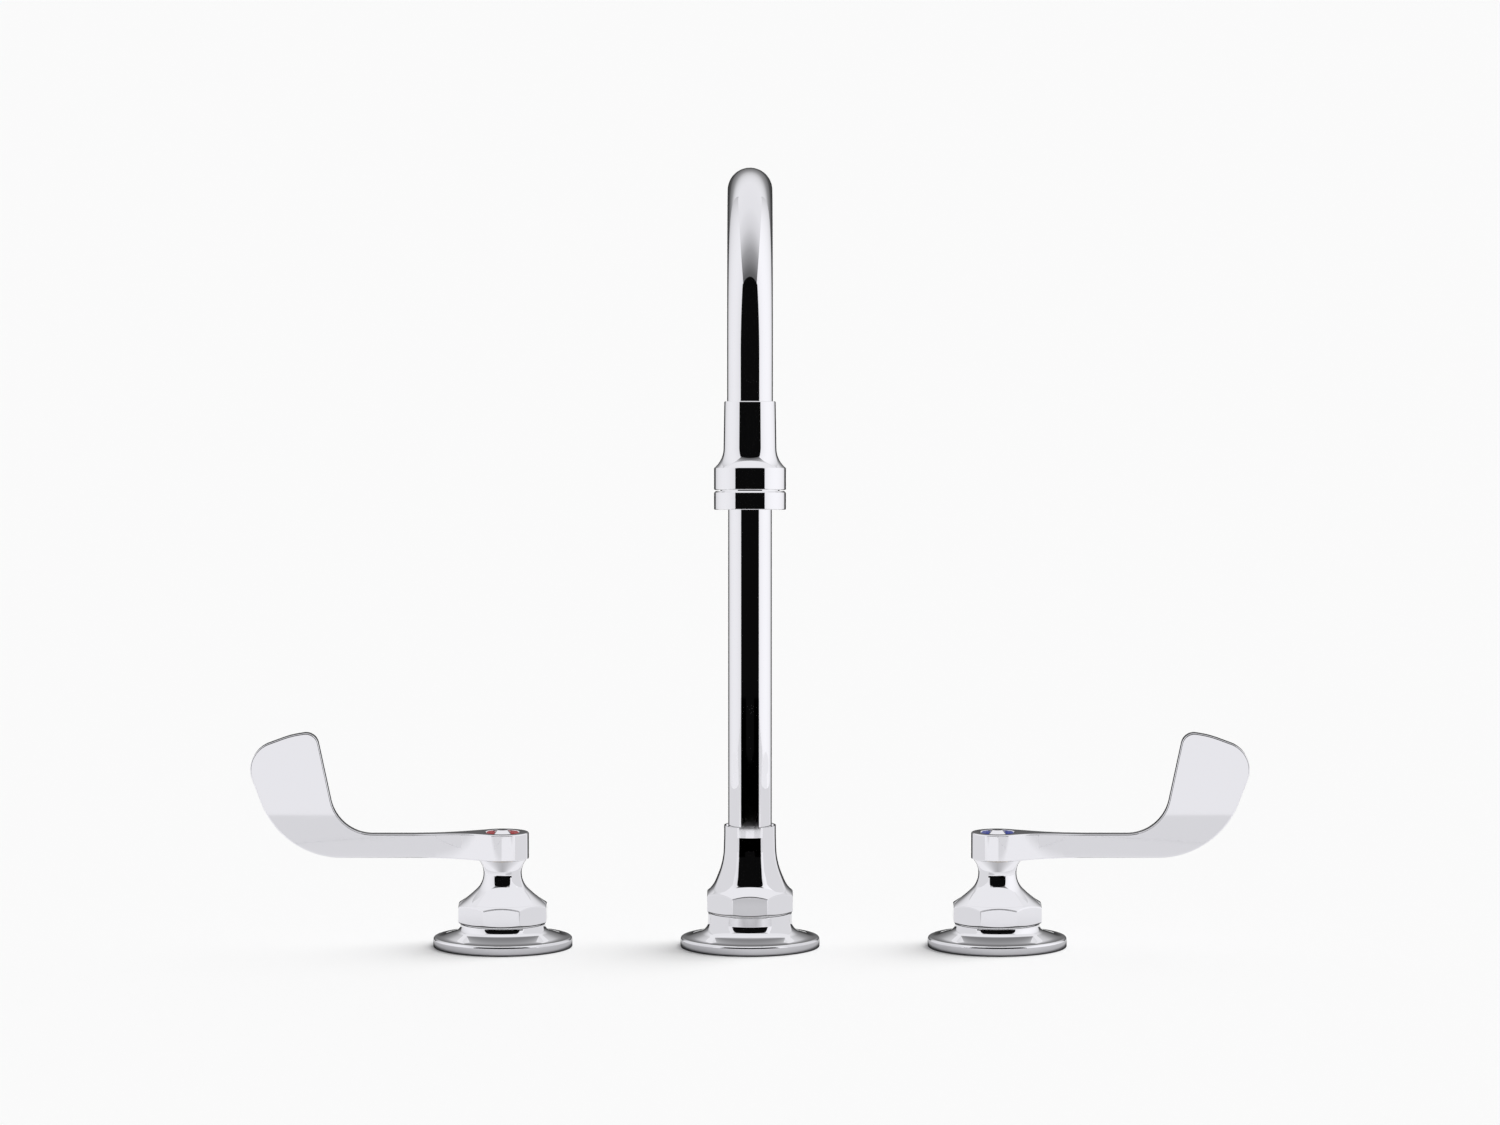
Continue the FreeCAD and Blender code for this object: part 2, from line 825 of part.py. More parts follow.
def lever_screw():
    """A slotted cheese-head screw that holds the lever down on its stem."""
    bottom = screw_seat() - screw_length
    head_top = screw_seat() + screw_head_height
    screw = turned([
        (0, bottom), (screw_radius, bottom), (screw_radius, screw_seat()),
        (screw_head_radius, screw_seat()), (screw_head_radius, head_top), (0, head_top),
    ])
    slot = bar(3 * screw_head_radius, screw_slot_width, head_top - screw_slot_depth, head_top)
    return screw.cut(slot)


def index_ring():
    """The coloured ring round the button, red on the hot side and blue on the cold side."""
    outer = button_pocket_radius - slip_gap
    return ring(outer, button_radius + slip_gap, button_floor(), button_floor() + index_ring_thickness)


def index_button():
    """The cone-topped button that covers the handle screw."""
    bottom = screw_seat() + screw_head_height
    top = lever_top() + button_rise
    return turned([
        (0, bottom), (button_radius, bottom), (button_radius, button_floor() + index_ring_thickness),
        (button_top_radius, top), (0, top),
    ])


# Gooseneck and its swivel joint
def ferrule_bottom():
    return spout_barrel_height + seat_gap - swivel_depth + passing_gap


def tube_foot():
    return ferrule_bottom() + swivel_floor_thickness


def outlet_angle():
    """How far the arch turns the tube, so that its outlet leg leans forward."""
    return 180 - outlet_lean


def gooseneck():
    """The bent tube: a riser, a half-round arch and a short leg that leans forward."""
    section = Part.Face(Part.Wire(Part.makeCircle(tube_radius, Vector(0, 0, arch_height))))
    bore = Part.Wire(Part.makeCircle(tube_radius - tube_wall, Vector(0, 0, arch_height)))
    section = section.cut(Part.Face(bore))
    section = section.Faces[0]
    riser = section.extrude(Vector(0, 0, tube_foot() - arch_height))
    centre = Vector(0, -arch_radius, arch_height)
    arch = section.revolve(centre, Vector(1, 0, 0), outlet_angle())
    end = section.copy()
    end.rotate(centre, Vector(1, 0, 0), outlet_angle())
    leg_length = outlet_leg - seat_gap
    leg = end.extrude(Vector(0, -sine(outlet_lean), -cosine(outlet_lean)) * leg_length)
    return riser.fuse([arch, leg]).removeSplitter()


def swivel_ferrule():
    """The grooved collar on the foot of the tube, which turns in the socket of the barrel."""
    flange_bottom = spout_barrel_height + seat_gap
    flange_top = flange_bottom + swivel_flange_thickness
    outer = socket_radius - slip_gap
    tube_bore = tube_radius + seal_gap
    groove = socket_radius - swivel_ring_section
    points = [
        (spout_waterway_radius, ferrule_bottom()), (outer, ferrule_bottom()),
    ]
    for depth in reversed(swivel_ring_depths):
        low = spout_barrel_height - depth - swivel_ring_section / 2 - seal_gap
        high = spout_barrel_height - depth + swivel_ring_section / 2 + seal_gap
        points += [(outer, low), (groove, low), (groove, high), (outer, high)]
    points += [
        (outer, flange_bottom), (swivel_flange_radius, flange_bottom),
        (swivel_flange_radius, flange_top), (tube_bore, flange_top),
        (tube_bore, tube_foot()), (spout_waterway_radius, tube_foot()),
    ]
    return turned(points)


def swivel_o_rings():
    outer = socket_radius - seal_gap
    section = swivel_ring_section - 2 * seal_gap
    heights = [spout_barrel_height - depth for depth in swivel_ring_depths]
    return Part.Compound([o_ring(outer, section, height) for height in heights])


def thrust_washer():
    top = washer_top()
    return ring(swivel_flange_radius, tube_radius + slip_gap, top - thrust_washer_thickness, top)


# Outlet adapter and aerator, made along -Z from the end of the arch and then laid on the outlet leg
def on_outlet(shape):
    laid = shape.copy()
    laid.rotate(ORIGIN, Vector(1, 0, 0), -outlet_lean)
    turn = outlet_angle()
    laid.translate(Vector(0, arch_radius * (cosine(turn) - 1), arch_height + arch_radius * sine(turn)))
    return laid


def adapter_top():
    return adapter_insert - outlet_leg


def adapter_bottom():
    return adapter_top() - adapter_length


def adapter_stop_top():
    """Level of the step inside the adapter that the tube's end stands on."""
    return adapter_top() - adapter_insert


def washer_seat():
    """Level of the step inside the adapter that the aerator's washer lies on."""
    return adapter_bottom() + adapter_thread_depth


def outlet_adapter():
    """The sleeve that flares from the tube to the threaded ring of the aerator."""
    top = adapter_top()
    flare_bottom = adapter_bottom() + adapter_rim_height
    waterway = tube_radius - tube_wall
    return on_outlet(turned([
        (tube_radius + seal_gap, top), (adapter_mouth_radius, top, adapter_edge_round),
        (adapter_throat_radius, top - adapter_throat_depth, adapter_flare_arc),
        (adapter_rim_radius, flare_bottom, adapter_edge_round),
        (adapter_rim_radius, adapter_bottom(), adapter_edge_round),
        (adapter_thread_radius, adapter_bottom()), (adapter_thread_radius, washer_seat()),
        (waterway, washer_seat()), (waterway, adapter_stop_top()),
        (tube_radius + seal_gap, adapter_stop_top()),
    ]))


def housing_top():
    """Level of the upper end of the housing's thread."""
    return adapter_bottom() - housing_gap + housing_thread_length


def insert_top():
    return housing_top() + insert_flange_thickness


def aerator_washer():
    top = washer_seat()
    outer = adapter_thread_radius - thread_gap
    return on_outlet(ring(outer, tube_radius - tube_wall, insert_top(), top))


def aerator_housing():
    """The ring that screws into the adapter and holds the aerator's insert."""
    shoulder = adapter_bottom() - housing_gap
    bottom = shoulder - housing_height
    outer = adapter_thread_radius - thread_gap
    return on_outlet(turned([
        (housing_bore_radius, housing_top()), (outer, housing_top()), (outer, shoulder),
        (adapter_rim_radius - housing_shoulder, shoulder), (adapter_rim_radius, shoulder - housing_shoulder),
        (adapter_rim_radius, bottom), (housing_lip_radius, bottom),
        (housing_lip_radius, bottom + housing_lip_thickness),
        (housing_bore_radius, bottom + housing_lip_thickness),
    ]))


def aerator_insert():
    """The flanged cup with a pierced floor that mixes air into the water."""
    outer = housing_bore_radius - slip_gap
    bottom = adapter_bottom() - housing_gap - housing_height + housing_lip_thickness
    floor_top = bottom + screen_recess + insert_floor_thickness
    cup = turned([
        (0, bottom + screen_recess), (outer - insert_wall, bottom + screen_recess),
        (outer - insert_wall, bottom), (outer, bottom), (outer, housing_top()),
        (adapter_thread_radius - thread_gap, housing_top()),
        (adapter_thread_radius - thread_gap, insert_top()),
        (outer - insert_wall, insert_top()), (outer - insert_wall, floor_top), (0, floor_top),
    ])
    holes = [cylinder(nozzle_radius, bottom, floor_top)]
    for row in range(1, nozzle_rings + 1):
        for i in range(6 * row):
            hole = Part.makeCylinder(nozzle_radius, floor_top - bottom, Vector(row * nozzle_pitch, 0, bottom))
            holes.append(turned_about_z(hole, 60 * i / row))
    return on_outlet(cup.cut(holes))


# Assembly
os.makedirs("parts", exist_ok=True)


def write(name, shape):
    shape.exportStep("parts/" + name + ".step")


def placed(shape, turn, offset):
    copy = turned_about_z(shape, turn)
    copy.translate(Vector(offset, 0, 0))
    return copy


fixed_valve_pieces = {
    "valve_body": valve_body(),
    "escutcheon": escutcheon(valve_neck_radius, valve_neck_height, valve_neck_fillet),
    "gasket": escutcheon_gasket(),
    "cushion_washer": cushion_washer(),
    "clamp_washer": clamp_washer(),
    "mounting_nut": mounting_nut(),
    "bonnet": valve_bonnet(),
    "seat_seal": seat_seal(),
    "fixed_disc": fixed_disc(),
    "cartridge_body": cartridge_body(),
    "cartridge_o_ring": cartridge_o_ring(),
    "crossover_tube": crossover_tube(),
    "compression_sleeves": compression_sleeves(),
    "compression_nuts": compression_nuts(),
}
handle_pieces = {
    "lever": lever(),
    "lever_screw": lever_screw(),
    "index_ring": index_ring(),
    "index_button": index_button(),
    "stem": stem(),
    "stem_o_rings": stem_o_rings(),
    "stem_clip": stem_clip(),
    "moving_disc": moving_disc(),
}
spout_pieces = {
    "spout_body": spout_body(),
    "spout_escutcheon": escutcheon(spout_neck_radius, spout_neck_height, spout_neck_fillet),
    "spout_gasket": escutcheon_gasket(),
    "spout_cushion_washer": cushion_washer(),
    "spout_clamp_washer": clamp_washer(),
    "spout_mounting_nut": mounting_nut(),
    "spout_bonnet": spout_bonnet(),
    "gooseneck": gooseneck(),
    "swivel_ferrule": swivel_ferrule(),
    "swivel_o_rings": swivel_o_rings(),
    "thrust_washer": thrust_washer(),
    "outlet_adapter": outlet_adapter(),
    "aerator_housing": aerator_housing(),
    "aerator_washer": aerator_washer(),
    "aerator_insert": aerator_insert(),
}

for side, direction in (("hot", -1), ("cold", 1)):
    axis = direction * valve_spacing / 2
    for name, shape in fixed_valve_pieces.items():
        write(side + "_" + name, placed(shape, 90 + direction * 90, axis))
    for name, shape in handle_pieces.items():
        write(side + "_" + name, placed(shape, 90 - direction * 90, axis))
for name, shape in spout_pieces.items():
    write(name, shape)
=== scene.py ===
"""Finished look of a widespread basin faucet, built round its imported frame.

Everything is in metres in the frame's own axes: the deck is z = 0, the spout's riser stands on
x = y = 0 and reaches towards -Y, the hot valve is on the -X side and the cold valve on the +X side.
"""
import bmesh
import bpy
import math
from mathutils import Matrix, Vector


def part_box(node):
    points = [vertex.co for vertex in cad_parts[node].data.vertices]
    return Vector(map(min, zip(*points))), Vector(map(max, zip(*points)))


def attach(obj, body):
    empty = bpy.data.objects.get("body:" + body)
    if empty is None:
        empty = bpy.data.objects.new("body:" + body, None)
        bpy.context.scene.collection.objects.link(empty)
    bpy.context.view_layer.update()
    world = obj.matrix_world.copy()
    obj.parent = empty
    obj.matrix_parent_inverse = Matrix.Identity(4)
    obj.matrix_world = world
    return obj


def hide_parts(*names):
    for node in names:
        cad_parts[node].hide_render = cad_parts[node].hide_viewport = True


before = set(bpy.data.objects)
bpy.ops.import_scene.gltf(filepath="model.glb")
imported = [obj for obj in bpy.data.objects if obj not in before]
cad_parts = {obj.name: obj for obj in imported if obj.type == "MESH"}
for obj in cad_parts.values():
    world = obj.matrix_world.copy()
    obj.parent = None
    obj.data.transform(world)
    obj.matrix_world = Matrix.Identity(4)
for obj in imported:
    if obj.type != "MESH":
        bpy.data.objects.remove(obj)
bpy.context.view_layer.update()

bl_info = {
    "name": "Widespread basin faucet",
    "version": (1, 0, 0),
    "blender": (4, 5, 0),
    "location": "View3D > Sidebar > Faucet",
    "description": "Models the chrome, brass and small parts of a basin faucet and its studio",
    "category": "Add Mesh",
}

MM = 0.001
MERGE_DISTANCE = 0.002 * MM
CHORD_ERROR = 0.008 * MM
FINEST_STEP = math.radians(2.0)
WIDEST_STEP = math.radians(8.0)
HOLE_STEPS = 96
TURNING_STEPS = 128
FLANGE_STEPS = 160
STEPS_PER_FLAT = 20
THREAD_STEPS = 64
ARCH_STEPS = 88
SHARP_ANGLE = math.radians(30)
SQUARE_ANGLE = math.radians(60)
UP = Vector((0, 0, 1))
SIDES = {"hot": -1, "cold": 1}


# Sizes read from the frame
def lowest(node):
    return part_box(node)[0].z


def highest(node):
    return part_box(node)[1].z


def half_size(node, axis):
    low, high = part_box(node)
    return (high[axis] - low[axis]) / 2


def centre_x(node):
    low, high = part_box(node)
    return (high.x + low.x) / 2


# Property helpers
def length(label, description, metres):
    return bpy.props.FloatProperty(
        name=label, description=description, default=metres, unit="LENGTH", precision=5)


def angle(label, description, degrees):
    return bpy.props.FloatProperty(
        name=label, description=description, default=math.radians(degrees), unit="ROTATION")


def share(label, description, value):
    return bpy.props.FloatProperty(
        name=label, description=description, default=value, subtype="FACTOR", min=0, max=1)


def colour(label, description, value):
    return bpy.props.FloatVectorProperty(
        name=label, description=description, default=value, subtype="COLOR", size=3, min=0, max=1)


class EscutcheonSizes(bpy.types.PropertyGroup):
    """Flanged covers that stand on the deck"""
    flange_radius: length("Flange radius", "Radius of the flange", half_size("spout_escutcheon", 0))
    rim_height: length("Rim height", "Height of the flange's rim", 4.1 * MM)
    rim_round: length("Rim round", "Radius of the rim's upper edge", 1.0 * MM)
    foot_round: length("Foot round", "Radius of the rim's lower edge", 0.4 * MM)
    neck_edge_round: length("Neck edge round", "Radius of the neck's upper edge", 0.3 * MM)
    bore: length("Bore", "Radius of the hole for the barrel", 15.6 * MM)
    groove_inner: length("Groove inner", "Inner radius of the gasket groove", 19.5 * MM)
    groove_outer: length("Groove outer", "Outer radius of the gasket groove", 25.5 * MM)
    groove_depth: length("Groove depth", "Depth of the gasket groove", highest("spout_gasket"))
    valve_neck_radius: length("Valve neck radius", "Radius of the valves' necks", 17.4 * MM)
    spout_neck_radius: length("Spout neck radius", "Radius of the spout's neck", 17.2 * MM)
    flare_height: length("Flare height", "Height where a neck turns into its flare", 6.9 * MM)
    flare_arc: length("Flare arc", "Arc between a neck and its flare", 5.2 * MM)
    skirt_radius: length("Skirt radius", "Radius where the flare meets the flange", 25.6 * MM)
    skirt_arc: length("Skirt arc", "Arc where the flare meets the flange", 9.0 * MM)


class BonnetSizes(bpy.types.PropertyGroup):
    """Eight-sided bells over the valves and the spout"""
    sides: bpy.props.IntProperty(name="Sides", description="Number of wrench flats", default=8, min=3)
    thread_bore: length("Thread bore", "Radius of the bore that screws on the barrel", 15.2 * MM)
    land_inset: length("Land inset", "How far the turned land stands back from the flats", 1.6 * MM)
    land_height: length("Land height", "Height of the turned land under the flats", 0.4 * MM)
    foot_chamfer: length("Foot chamfer", "Chamfer under the flats", 0.8 * MM)
    edge_round: length("Edge round", "Bevel of the edges of the flats", 0.45 * MM)
    clear_band: length("Clear band", "Plain turned band inside each flat", 0.7 * MM)
    valve_flats: length("Valve flats", "Size across the valves' flats", 2 * half_size("hot_bonnet", 1))
    valve_rim_height: length("Valve rim height", "Top of the flats' corners", 17.1 * MM)
    valve_flare_radius: length("Valve flare radius", "Radius where the bell steepens", 14.6 * MM)
    valve_flare_height: length("Valve flare height", "Height where the bell steepens", 20.0 * MM)
    valve_flare_arc: length("Valve flare arc", "Arc of the bell's shoulder", 46.0 * MM)
    waist_radius: length("Waist radius", "Radius of the bell's waist", 7.8 * MM)
    waist_low: length("Waist low", "Height of the lower end of the waist", 26.5 * MM)
    waist_low_arc: length("Waist low arc", "Arc at the lower end of the waist", 10.5 * MM)
    waist_high: length("Waist high", "Height of the upper end of the waist", 33.3 * MM)
    waist_high_arc: length("Waist high arc", "Arc at the upper end of the waist", 9.5 * MM)
    valve_collar: length("Valve collar", "Radius of the valve bell's top", 9.95 * MM)
    lever_gap: length("Lever gap", "Gap between the valve bell and the lever", 0.13 * MM)
    stem_bore: length("Stem bore", "Radius of the hole for the stem", 5.0 * MM)
    guide_bore: length("Guide bore", "Radius of the hollow for the stem's guide", 6.6 * MM)
    guide_roof: length("Guide roof", "Top of the hollow for the stem's guide", 24.9 * MM)
    cartridge_bore: length("Cartridge bore", "Radius of the hollow for the cartridge", 11.85 * MM)
    cartridge_roof: length("Cartridge roof", "Top of the hollow for the cartridge", 18.8 * MM)
    valve_thread_top: length("Valve thread top", "Top of the valve bonnet's thread", 14.3 * MM)
    spout_flats: length("Spout flats", "Size across the spout's flats", 2 * half_size("spout_bonnet", 1))
    spout_rim_height: length("Spout rim height", "Top of the flats' corners", 21.9 * MM)
    spout_flare_radius: length("Spout flare radius", "Radius where the bell steepens", 15.5 * MM)
    spout_flare_height: length("Spout flare height", "Height where the bell steepens", 24.2 * MM)
    spout_flare_arc: length("Spout flare arc", "Arc of the bell's shoulder", 12.0 * MM)
    throat_radius: length("Throat radius", "Radius of the bell's throat", 10.9 * MM)
    throat_height: length("Throat height", "Height of the bell's throat", 35.2 * MM)
    throat_arc: length("Throat arc", "Arc of the bell's throat", 30.0 * MM)
    spout_collar: length("Spout collar", "Radius of the spout bell's top", 10.6 * MM)
    collar_height: length("Collar height", "Height of the upright collar", 4.2 * MM)
    collar_arc: length("Collar arc", "Arc under the upright collar", 6.0 * MM)
    recess_radius: length("Recess radius", "Radius of the recess round the riser", 10.2 * MM)
    recess_depth: length("Recess depth", "Depth of the recess round the riser", 1.2 * MM)
    riser_bore: length("Riser bore", "Radius of the hole for the riser", 9.2 * MM)
    ferrule_bore: length("Ferrule bore", "Radius of the hollow for the ferrule", 13.3 * MM)
    ferrule_roof: length("Ferrule roof", "Top of the hollow for the ferrule", 25.4 * MM)
    spout_thread_top: length("Spout thread top", "Top of the spout bonnet's thread", 22.3 * MM)


class BodySizes(bpy.types.PropertyGroup):
    """Cast and threaded bodies below the deck"""
    block_size: length("Block size", "Width of the square block", 36.0 * MM)
    block_height: length("Block height", "Height of the square block", 20.0 * MM)
    block_round: length("Block round", "Radius of the block's upright edges", 4.0 * MM)
    block_soften: length("Block soften", "Bevel of the block's other edges", 0.6 * MM)
    port_depth: length("Port depth", "Depth of the side bosses' axis under the deck", 53.0 * MM)
    overlap: length("Overlap", "How far a threaded end reaches into its block", 2.0 * MM)
    barrel_radius: length("Barrel radius", "Crest radius of the barrels' thread", 15.1 * MM)
    barrel_pitch: length("Barrel pitch", "Pitch of the barrels' thread", 1.5 * MM)
    chamber_radius: length("Chamber radius", "Radius of the bore for the cartridge", 11.0 * MM)
    chamber_floor: length("Chamber floor", "Depth of the cartridge's bore under the deck", 12.0 * MM)
    tail_radius: length("Tail radius", "Crest radius of the inlet thread", 10.45 * MM)
    tail_pitch: length("Tail pitch", "Pitch of the inlet thread", 1.814 * MM)
    tail_bore: length("Tail bore", "Radius of the inlet's bore", 4.2 * MM)
    boss_radius: length("Boss radius", "Crest radius of the side bosses' thread", 7.14 * MM)
    boss_pitch: length("Boss pitch", "Pitch of the side bosses' thread", 1.06 * MM)
    boss_length: length("Boss length", "How far a side boss stands out of its block", 10.0 * MM)
    boss_bore: length("Boss bore", "Radius of the side bosses' bore", 4.86 * MM)
    socket_radius: length("Socket radius", "Radius of the socket for the swivelling ferrule", 11.6 * MM)
    socket_depth: length("Socket depth", "Depth of the socket for the swivelling ferrule", 18.0 * MM)
    waterway: length("Waterway", "Radius of the spout body's waterway", 7.0 * MM)
    thread_depth: share("Thread depth", "Depth of a thread as a share of its pitch", 0.6)


class LeverSizes(bpy.types.PropertyGroup):
    """Blade levers and their index buttons"""
    hub_radius: length("Hub radius", "Radius of the round hub", 10.8 * MM)
    hub_height: length("Hub height", "Height of the round hub", 10.95 * MM)
    sweep: length("Sweep", "Arc between hub and arm, seen from above", 42.0 * MM)
    thickness: length("Thickness", "Thickness of arm and blade", 5.6 * MM)
    arm_inset: length("Arm inset", "How much thinner the arm is than the hub, at each face", 0.6 * MM)
    arm_height: length("Arm height", "Height of the arm", 9.75 * MM)
    taper_end: length("Taper end", "Distance from the axis where the taper ends", 32.0 * MM)
    taper_blend: length("Taper blend", "Half length of the bend at the hub's edge", 2.4 * MM)
    taper_arc: length("Taper arc", "Arc where the taper ends", 250.0 * MM)
    edge_round: length("Edge round", "Radius of the long edges", 0.5 * MM)
    root_distance: length("Root distance", "Distance from the axis to the blade's root", 67.4 * MM)
    root_arc: length("Root arc", "Arc at the blade's root", 17.5 * MM)
    pocket_radius: length("Pocket radius", "Radius of the button's pocket", 7.2 * MM)
    pocket_depth: length("Pocket depth", "Depth of the button's pocket", 1.8 * MM)
    pocket_edge: length("Pocket edge", "Chamfer of the pocket's mouth", 0.15 * MM)
    screw_pocket_radius: length("Screw pocket radius", "Radius of the screw head's pocket", 4.1 * MM)
    screw_pocket_depth: length("Screw pocket depth", "Depth of the screw head's pocket", 2.2 * MM)
    screw_bore: length("Screw bore", "Radius of the screw's hole", 2.05 * MM)
    socket_radius: length("Socket radius", "Radius of the socket on the stem", 4.3 * MM)
    web: length("Web", "Wall between the socket and the screw's seat", 1.3 * MM)
    button_radius: length("Button radius", "Radius of the index button", 3.9 * MM)
    button_top_radius: length("Button top radius", "Radius of the button's flat top", 2.1 * MM)
    ring_height: length("Ring height", "Height of the index ring", 0.6 * MM)
    ring_play: length("Ring play", "Gap between the index ring and its neighbours", 0.1 * MM)
    ring_round: length("Ring round", "Radius of the edges of the ring and of the button", 0.2 * MM)
    button_round: length("Button round", "Radius of the edge of the button's top", 0.3 * MM)


# The blade's corners in millimetres: distance from the axis, height above the arm's foot, arc
BLADE_CORNERS = ((90.3, 0.0, 35.0), (106.6, 43.2, 11.6), (86.7, 50.5, 36.0), (76.3, 52.2, 5.3))


class SpoutSizes(bpy.types.PropertyGroup):
    """Gooseneck tube, outlet adapter and aerator ring"""
    tube_radius: length("Tube radius", "Outer radius of the tube", half_size("gooseneck", 0))
    tube_wall: length("Tube wall", "Wall of the tube", 1.2 * MM)
    arch_radius: length("Arch radius", "Radius of the arch's centre line", 65.0 * MM)
    arch_height: length("Arch height", "Height where the arch begins", 249.0 * MM)
    lean: angle("Outlet lean", "How far the outlet leans forward", 5.4)
    leg: length("Outlet leg", "Length of the leg after the arch", 38.0 * MM)
    adapter_insert: length("Adapter insert", "How far the tube stands in the adapter", 18.0 * MM)
    adapter_length: length("Adapter length", "Length of the outlet adapter", 34.5 * MM)
    mouth_radius: length("Mouth radius", "Radius of the adapter's upper end", 10.0 * MM)
    throat_radius: length("Throat radius", "Radius of the adapter's throat", 10.35 * MM)
    throat_depth: length("Throat depth", "Depth of the adapter's throat", 22.7 * MM)
    flare_arc: length("Flare arc", "Arc at the adapter's throat", 10.0 * MM)
    rim_radius: length("Rim radius", "Radius of the adapter's rim", 14.0 * MM)
    rim_height: length("Rim height", "Height of the adapter's rim", 8.5 * MM)
    rim_round: length("Rim round", "Radius of the rim's edges", 0.4 * MM)
    thread_radius: length("Thread radius", "Radius of the adapter's thread", 11.6 * MM)
    thread_depth: length("Thread depth", "Depth of the adapter's thread", 7.5 * MM)
    tube_seat_gap: length("Tube seat gap", "Gap round the tube in the adapter", 0.05 * MM)
    play: length("Play", "Gap that the adapter keeps above its seat and the ring in its thread", 0.1 * MM)
    housing_gap: length("Housing gap", "Gap between adapter and aerator ring", 0.4 * MM)
    housing_height: length("Housing height", "Height of the aerator ring", 7.3 * MM)
    housing_shoulder: length("Housing shoulder", "Chamfer of the aerator ring", 0.7 * MM)
    housing_thread: length("Housing thread", "Length of the aerator ring's thread", 5.0 * MM)
    housing_bore: length("Housing bore", "Bore of the aerator ring", 10.2 * MM)
    lip_radius: length("Lip radius", "Radius of the hole in the ring's lip", 9.3 * MM)
    lip_thickness: length("Lip thickness", "Thickness of the ring's lip", 1.4 * MM)
    lip_round: length("Lip round", "Radius of the ring's lower edge", 0.35 * MM)


class FinishColours(bpy.types.PropertyGroup):
    """Colours of the finishes"""
    chrome: colour("Chrome", "Polished chrome plate", (0.90, 0.895, 0.94))
    rough_brass: colour("Cast brass", "Bead-blasted brass castings", (0.56, 0.40, 0.17))
    turned_brass: colour("Turned brass", "Machined brass", (0.72, 0.54, 0.24))
    zinc: colour("Zinc", "Zinc-plated steel", (0.62, 0.63, 0.65))
    rubber: colour("Rubber", "Black rubber", (0.018, 0.018, 0.019))
    white_plastic: colour("White plastic", "Moulded acetal", (0.80, 0.80, 0.78))
    ceramic: colour("Ceramic", "Lapped alumina", (0.86, 0.84, 0.80))
    red: colour("Red", "Index ring of the hot side", (0.30, 0.006, 0.008))
    blue: colour("Blue", "Index ring of the cold side", (0.004, 0.02, 0.22))


class StageSettings(bpy.types.PropertyGroup):
    """Floor, light and camera"""
    floor_tone: colour("Floor tone", "Pale floor and backdrop", (0.956, 0.956, 0.956))
    mirrored_floor: share("Mirrored floor", "Share of its tone that the floor has in metal", 0.95)
    room_light: share("Room light", "Level of the soft room light", 0.38)
    lamp_energy: bpy.props.FloatProperty(
        name="Lamp energy", description="Strength of the window's light", default=2.85, min=0)
    lamp_spread: angle("Lamp spread", "How wide the window's light is", 60)
    lamp_direction: bpy.props.FloatVectorProperty(
        name="Lamp direction", description="Where the window's light comes from",
        default=(1.0, 0.6, 1.1), subtype="DIRECTION")
    lens: bpy.props.FloatProperty(
        name="Lens", description="Focal length of the camera", default=172.8, unit="CAMERA")
    camera_distance: length("Camera distance", "How far the camera is in front of the spout", 2.929)
    camera_height: length("Camera height", "Height of the camera above the deck", 0.4586)
    camera_tilt: angle("Camera tilt", "Turn of the camera up from looking straight down", 90 - 5.85)


class FaucetSettings(bpy.types.PropertyGroup):
    """All sizes, colours and studio values of the faucet"""
    escutcheons: bpy.props.PointerProperty(type=EscutcheonSizes)
    bonnets: bpy.props.PointerProperty(type=BonnetSizes)
    levers: bpy.props.PointerProperty(type=LeverSizes)
    spout: bpy.props.PointerProperty(type=SpoutSizes)
    bodies: bpy.props.PointerProperty(type=BodySizes)
    colours: bpy.props.PointerProperty(type=FinishColours)
    stage: bpy.props.PointerProperty(type=StageSettings)


# Mesh helpers
def verts_of(items):
    return [item for item in items if isinstance(item, bmesh.types.BMVert)]


def edges_of(items):
    return [item for item in items if isinstance(item, bmesh.types.BMEdge)]


def without_repeats(items):
    """Each item once, in the order of its first place, so that each run gives the same mesh."""
    return list(dict.fromkeys(items))


def cut(mesh, spot, normal, clear_outer=False):
    """Cuts a mesh along a plane and returns the edges of the cut."""
    made = bmesh.ops.bisect_plane(
        mesh, geom=mesh.verts[:] + mesh.edges[:] + mesh.faces[:], dist=MERGE_DISTANCE / 4,
        plane_co=spot, plane_no=normal, clear_outer=clear_outer)
    return edges_of(made["geom_cut"])


def bevel(mesh, edges, offset, segments):
    bmesh.ops.bevel(mesh, geom=edges, offset=offset, segments=segments, profile=0.5,
                    affect="EDGES", material=-1)


def spin_round(mesh, parts, steps):
    """Spins some vertices and edges once round Z."""
    bmesh.ops.spin(mesh, geom=parts, axis=UP, angle=2 * math.pi, steps=steps, use_merge=True)


def take_in(mesh, other):
    """Adds another bmesh to a mesh and frees it."""
    data = bpy.data.meshes.new("taken_in")
    other.to_mesh(data)
    other.free()
    mesh.from_mesh(data)
    bpy.data.meshes.remove(data)


def at_height(item, height):
    return all(abs(vertex.co.z - height) < MERGE_DISTANCE for vertex in item.verts)


def arc_step(radius):
    """The widest step that keeps an arc within the chord error."""
    wanted = 2 * math.acos(max(0, 1 - CHORD_ERROR / radius))
    return min(max(wanted, FINEST_STEP), WIDEST_STEP)


